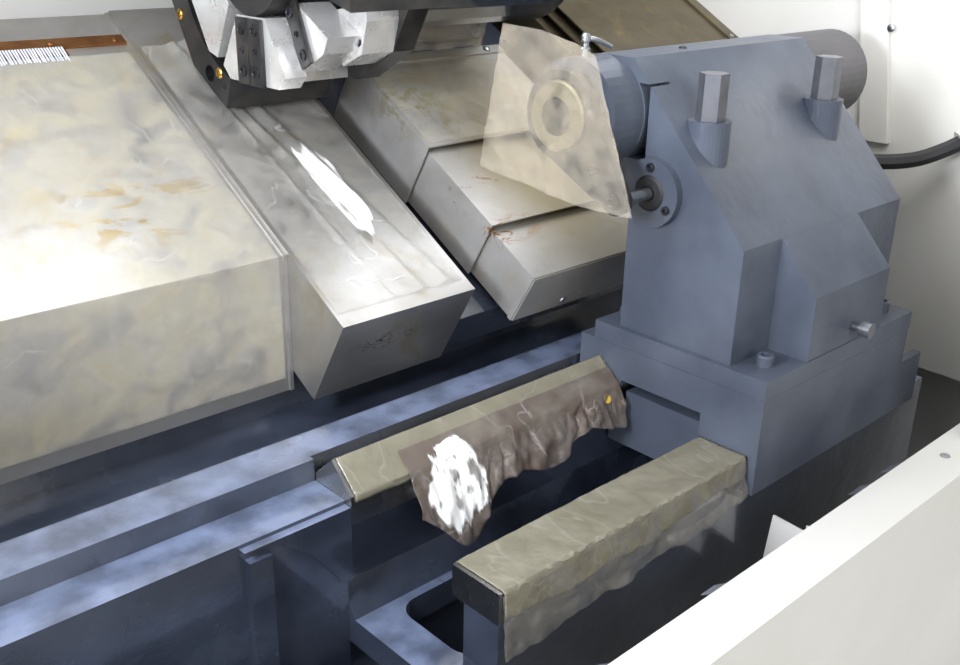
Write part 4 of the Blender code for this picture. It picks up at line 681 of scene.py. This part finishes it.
# Round yellow paper dot on the film
dot = bmesh.new()
turn_profile(dot, ((0, 0), (0.0075, 0), (0.0075, 0.0005), (0, 0.0006)), (0.612, -0.3225, 0.7395),
             (0, -0.85, 0.52), 24)
sticker = new_piece("yellow_dot", dot, YELLOW, "frame")
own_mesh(sticker)

# The long cover's upright front, its corner and its slope; the slopes of the narrow cover and of the stages
COVER_FRONT_Y, COVER_CORNER_Z, COVER_CORNER_S = -0.025, 0.9690, -0.0869
COVER_N, NOSE_N, STAGE_N = -0.2695, -0.263, -0.213


def cover_film(u, v):
    """Film over the long left cover: its slope and its upright front."""
    x = -0.552 + 0.785 * v
    top, low = 0.470, 0.185
    along = u * (top + low)
    lift = FILM_LIFT + crease(x, along, 120, 2.6, 1.7) + crease(x * 0.5, along, 60, 1.4, 9.3)
    if along < top:
        return slant(x, COVER_CORNER_S - top + along, COVER_N + lift)
    return Vector((x, COVER_FRONT_Y - lift, COVER_CORNER_Z - (along - top)))


film = laid_sheet("left_cover_film", 110, 130, cover_film, THIN_FILM, "carriage")


# Where each ridge starts, how it leans, how wide it is in shares of the film, and its height in metres
NOSE_RIDGES = ((0.50, 0.42, 0.035, 0.007), (0.66, 0.52, 0.05, 0.009), (0.34, 0.18, 0.02, 0.004))


def nose_film(u, v):
    """Film over the narrow cover, raised in three ridges that run across it."""
    x = 0.252 + 0.226 * v
    s = -0.56 + 0.60 * u
    ridge = 0.0
    for start, lean, wide, high in NOSE_RIDGES:
        ridge = max(ridge, high * math.exp(-((v - start - lean * (u - 0.62)) / wide) ** 2))
    return slant(x, s, NOSE_N + FILM_LIFT + ridge + crease(x, s, 90, 2.0, 4.4))


film = laid_sheet("nose_cover_film", 110, 60, nose_film, NOSE_FILM, "carriage")


def stage_film(u, v):
    """Film over the upper stage, with its loose end towards the turret."""
    x = 0.566 + 0.325 * v
    s = -0.385 + 0.188 * u
    return slant(x, s, STAGE_N + FILM_LIFT + crease(x, s, 55, 3.2, 7.7))


film = laid_sheet("stage_cover_film", 40, 60, stage_film, THIN_FILM, "cross_unit")


def housing_film(u, v):
    """Film that hangs down the front of the turret housing."""
    x = 0.515 + 0.335 * v
    n = -0.130 - 0.075 * u
    s = -0.4345 + 0.004 + 0.010 * u + crease(x, n, 34, 12.0, 2.9) * (0.3 + 0.7 * u)
    return slant(x, s, n)


film = laid_sheet("housing_film", 24, 80, housing_film, FILM, "cross_unit")


# The film stands in front of the quill's face, between a lower and an upper edge (Y and Z of each)
QUILL_FILM_X = 0.5605
QUILL_FILM_EDGES = ((-0.0846, 1.0626, -0.1268, 1.2758), (-0.1963, 1.0530, -0.2039, 1.2730),
                    (-0.2834, 1.0422, -0.2675, 1.2620), (-0.3856, 1.0461, -0.3038, 1.2490))


def quill_film(u, v):
    """Stiff clear film hung over the barrel's front: flat fields between straight folds, top to bottom."""
    place = u * 3
    step = min(int(place), 2)
    first, last = QUILL_FILM_EDGES[step], QUILL_FILM_EDGES[step + 1]
    low_y, low_z, top_y, top_z = [a + (b - a) * (place - step) for a, b in zip(first, last)]
    y, z = top_y + (low_y - top_y) * v, top_z + (low_z - top_z) * v
    fold = 0.003 * abs(math.sin(place * math.pi)) * v
    return Vector((QUILL_FILM_X - fold - crease(y, z, 60, 4.5, 3.3) - crease(y, z, 22, 1.5, 6.1), y, z))


film = laid_sheet("quill_film", 70, 90, quill_film, FILM, "quill_unit")
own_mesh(film)


# Floor, light and camera

def studio_floor():
    """Pale matt floor that also stands in for the background."""
    made, tree, shader, place = start_material("pale_studio_floor", Roughness=0.9)
    tree.links.new(blend_colour(tree, ramp(tree, speckle(tree, place, 900, 3.0), (0.3, 0.0), (0.8, 1.0)),
                                "#DADAD8", "#D5D5D2"), shader.inputs["Base Color"])
    mesh = bmesh.new()
    bmesh.ops.create_grid(mesh, x_segments=1, y_segments=1, size=9.0)
    bmesh.ops.translate(mesh, verts=mesh.verts, vec=(0, 0, -0.0005))
    data = bpy.data.meshes.new("studio_floor")
    mesh.to_mesh(data)
    mesh.free()
    data.materials.append(made)
    floor = bpy.data.objects.new("studio_floor", data)
    bpy.context.scene.collection.objects.link(floor)


def area_light(name, place, aim, size, power, colour="#FFFFFF"):
    """Soft rectangular lamp aimed at a point."""
    lamp = bpy.data.lights.new(name, "AREA")
    lamp.shape = "RECTANGLE"
    lamp.size, lamp.size_y = size
    lamp.energy = power
    lamp.color = linear(colour)[:3]
    made = bpy.data.objects.new(name, lamp)
    made.location = place
    made.rotation_euler = (Vector(aim) - Vector(place)).to_track_quat("-Z", "Y").to_euler()
    bpy.context.scene.collection.objects.link(made)


# The lamps inside the work space stay clear of its walls, so that none shines on the casing from outside
studio_floor()
area_light("front_window", (-0.6, -3.5, 2.1), (0.3, -0.2, 0.9), (3.2, 1.8), 64)
area_light("inside_ceiling", (0.1, -0.09, 1.69), (0.1, -0.11, 0.7), (2.4, 0.66), 15, "#F4F7FF")
area_light("door_light", (-0.70, -0.45, 1.42), (0.75, -0.05, 1.00), (0.36, 0.30), 32, "#EEF3FF")
area_light("wall_wash", (1.18, -0.50, 1.38), (1.41, -0.33, 0.92), (0.18, 0.18), 1.0)
area_light("back_fill", (1.5, 4.0, 3.2), (0, 0, 0.9), (3.0, 2.0), 90)
area_light("left_fill", (-4.2, -0.4, 2.4), (0, 0, 0.9), (2.0, 2.0), 70)
area_light("right_fill", (4.4, -0.8, 2.2), (0, 0, 0.9), (2.0, 2.0), 60)

world = bpy.data.worlds.new("studio_world")
world.use_nodes = True
sky = world.node_tree.nodes["Background"]
sky.inputs["Color"].default_value = linear("#F1F2F4")
sky.inputs["Strength"].default_value = 0.52
bpy.context.scene.world = world
bpy.context.scene.view_settings.view_transform = "Standard"

# The camera stands where the vanishing directions of the ways and the tailstock put it
AZIMUTH, DOWN, ROLL = math.radians(43.282), math.radians(22.237), math.radians(1.187)
look = Vector((math.sin(AZIMUTH) * math.cos(DOWN), math.cos(AZIMUTH) * math.cos(DOWN), -math.sin(DOWN)))
right = look.cross(Vector((0, 0, 1))).normalized()
upward = right.cross(look)
right, upward = (right * math.cos(ROLL) + upward * math.sin(ROLL),
                 upward * math.cos(ROLL) - right * math.sin(ROLL))
lens = bpy.data.cameras.new("photo_camera")
lens.sensor_width, lens.lens = 36.0, 38.64
camera = bpy.data.objects.new("photo_camera", lens)
camera.matrix_world = Matrix.Translation((-0.50, -1.218, 1.422)) @ Matrix(
    (right, upward, -look)).transposed().to_4x4()
bpy.context.scene.collection.objects.link(camera)
bpy.context.scene.camera = camera
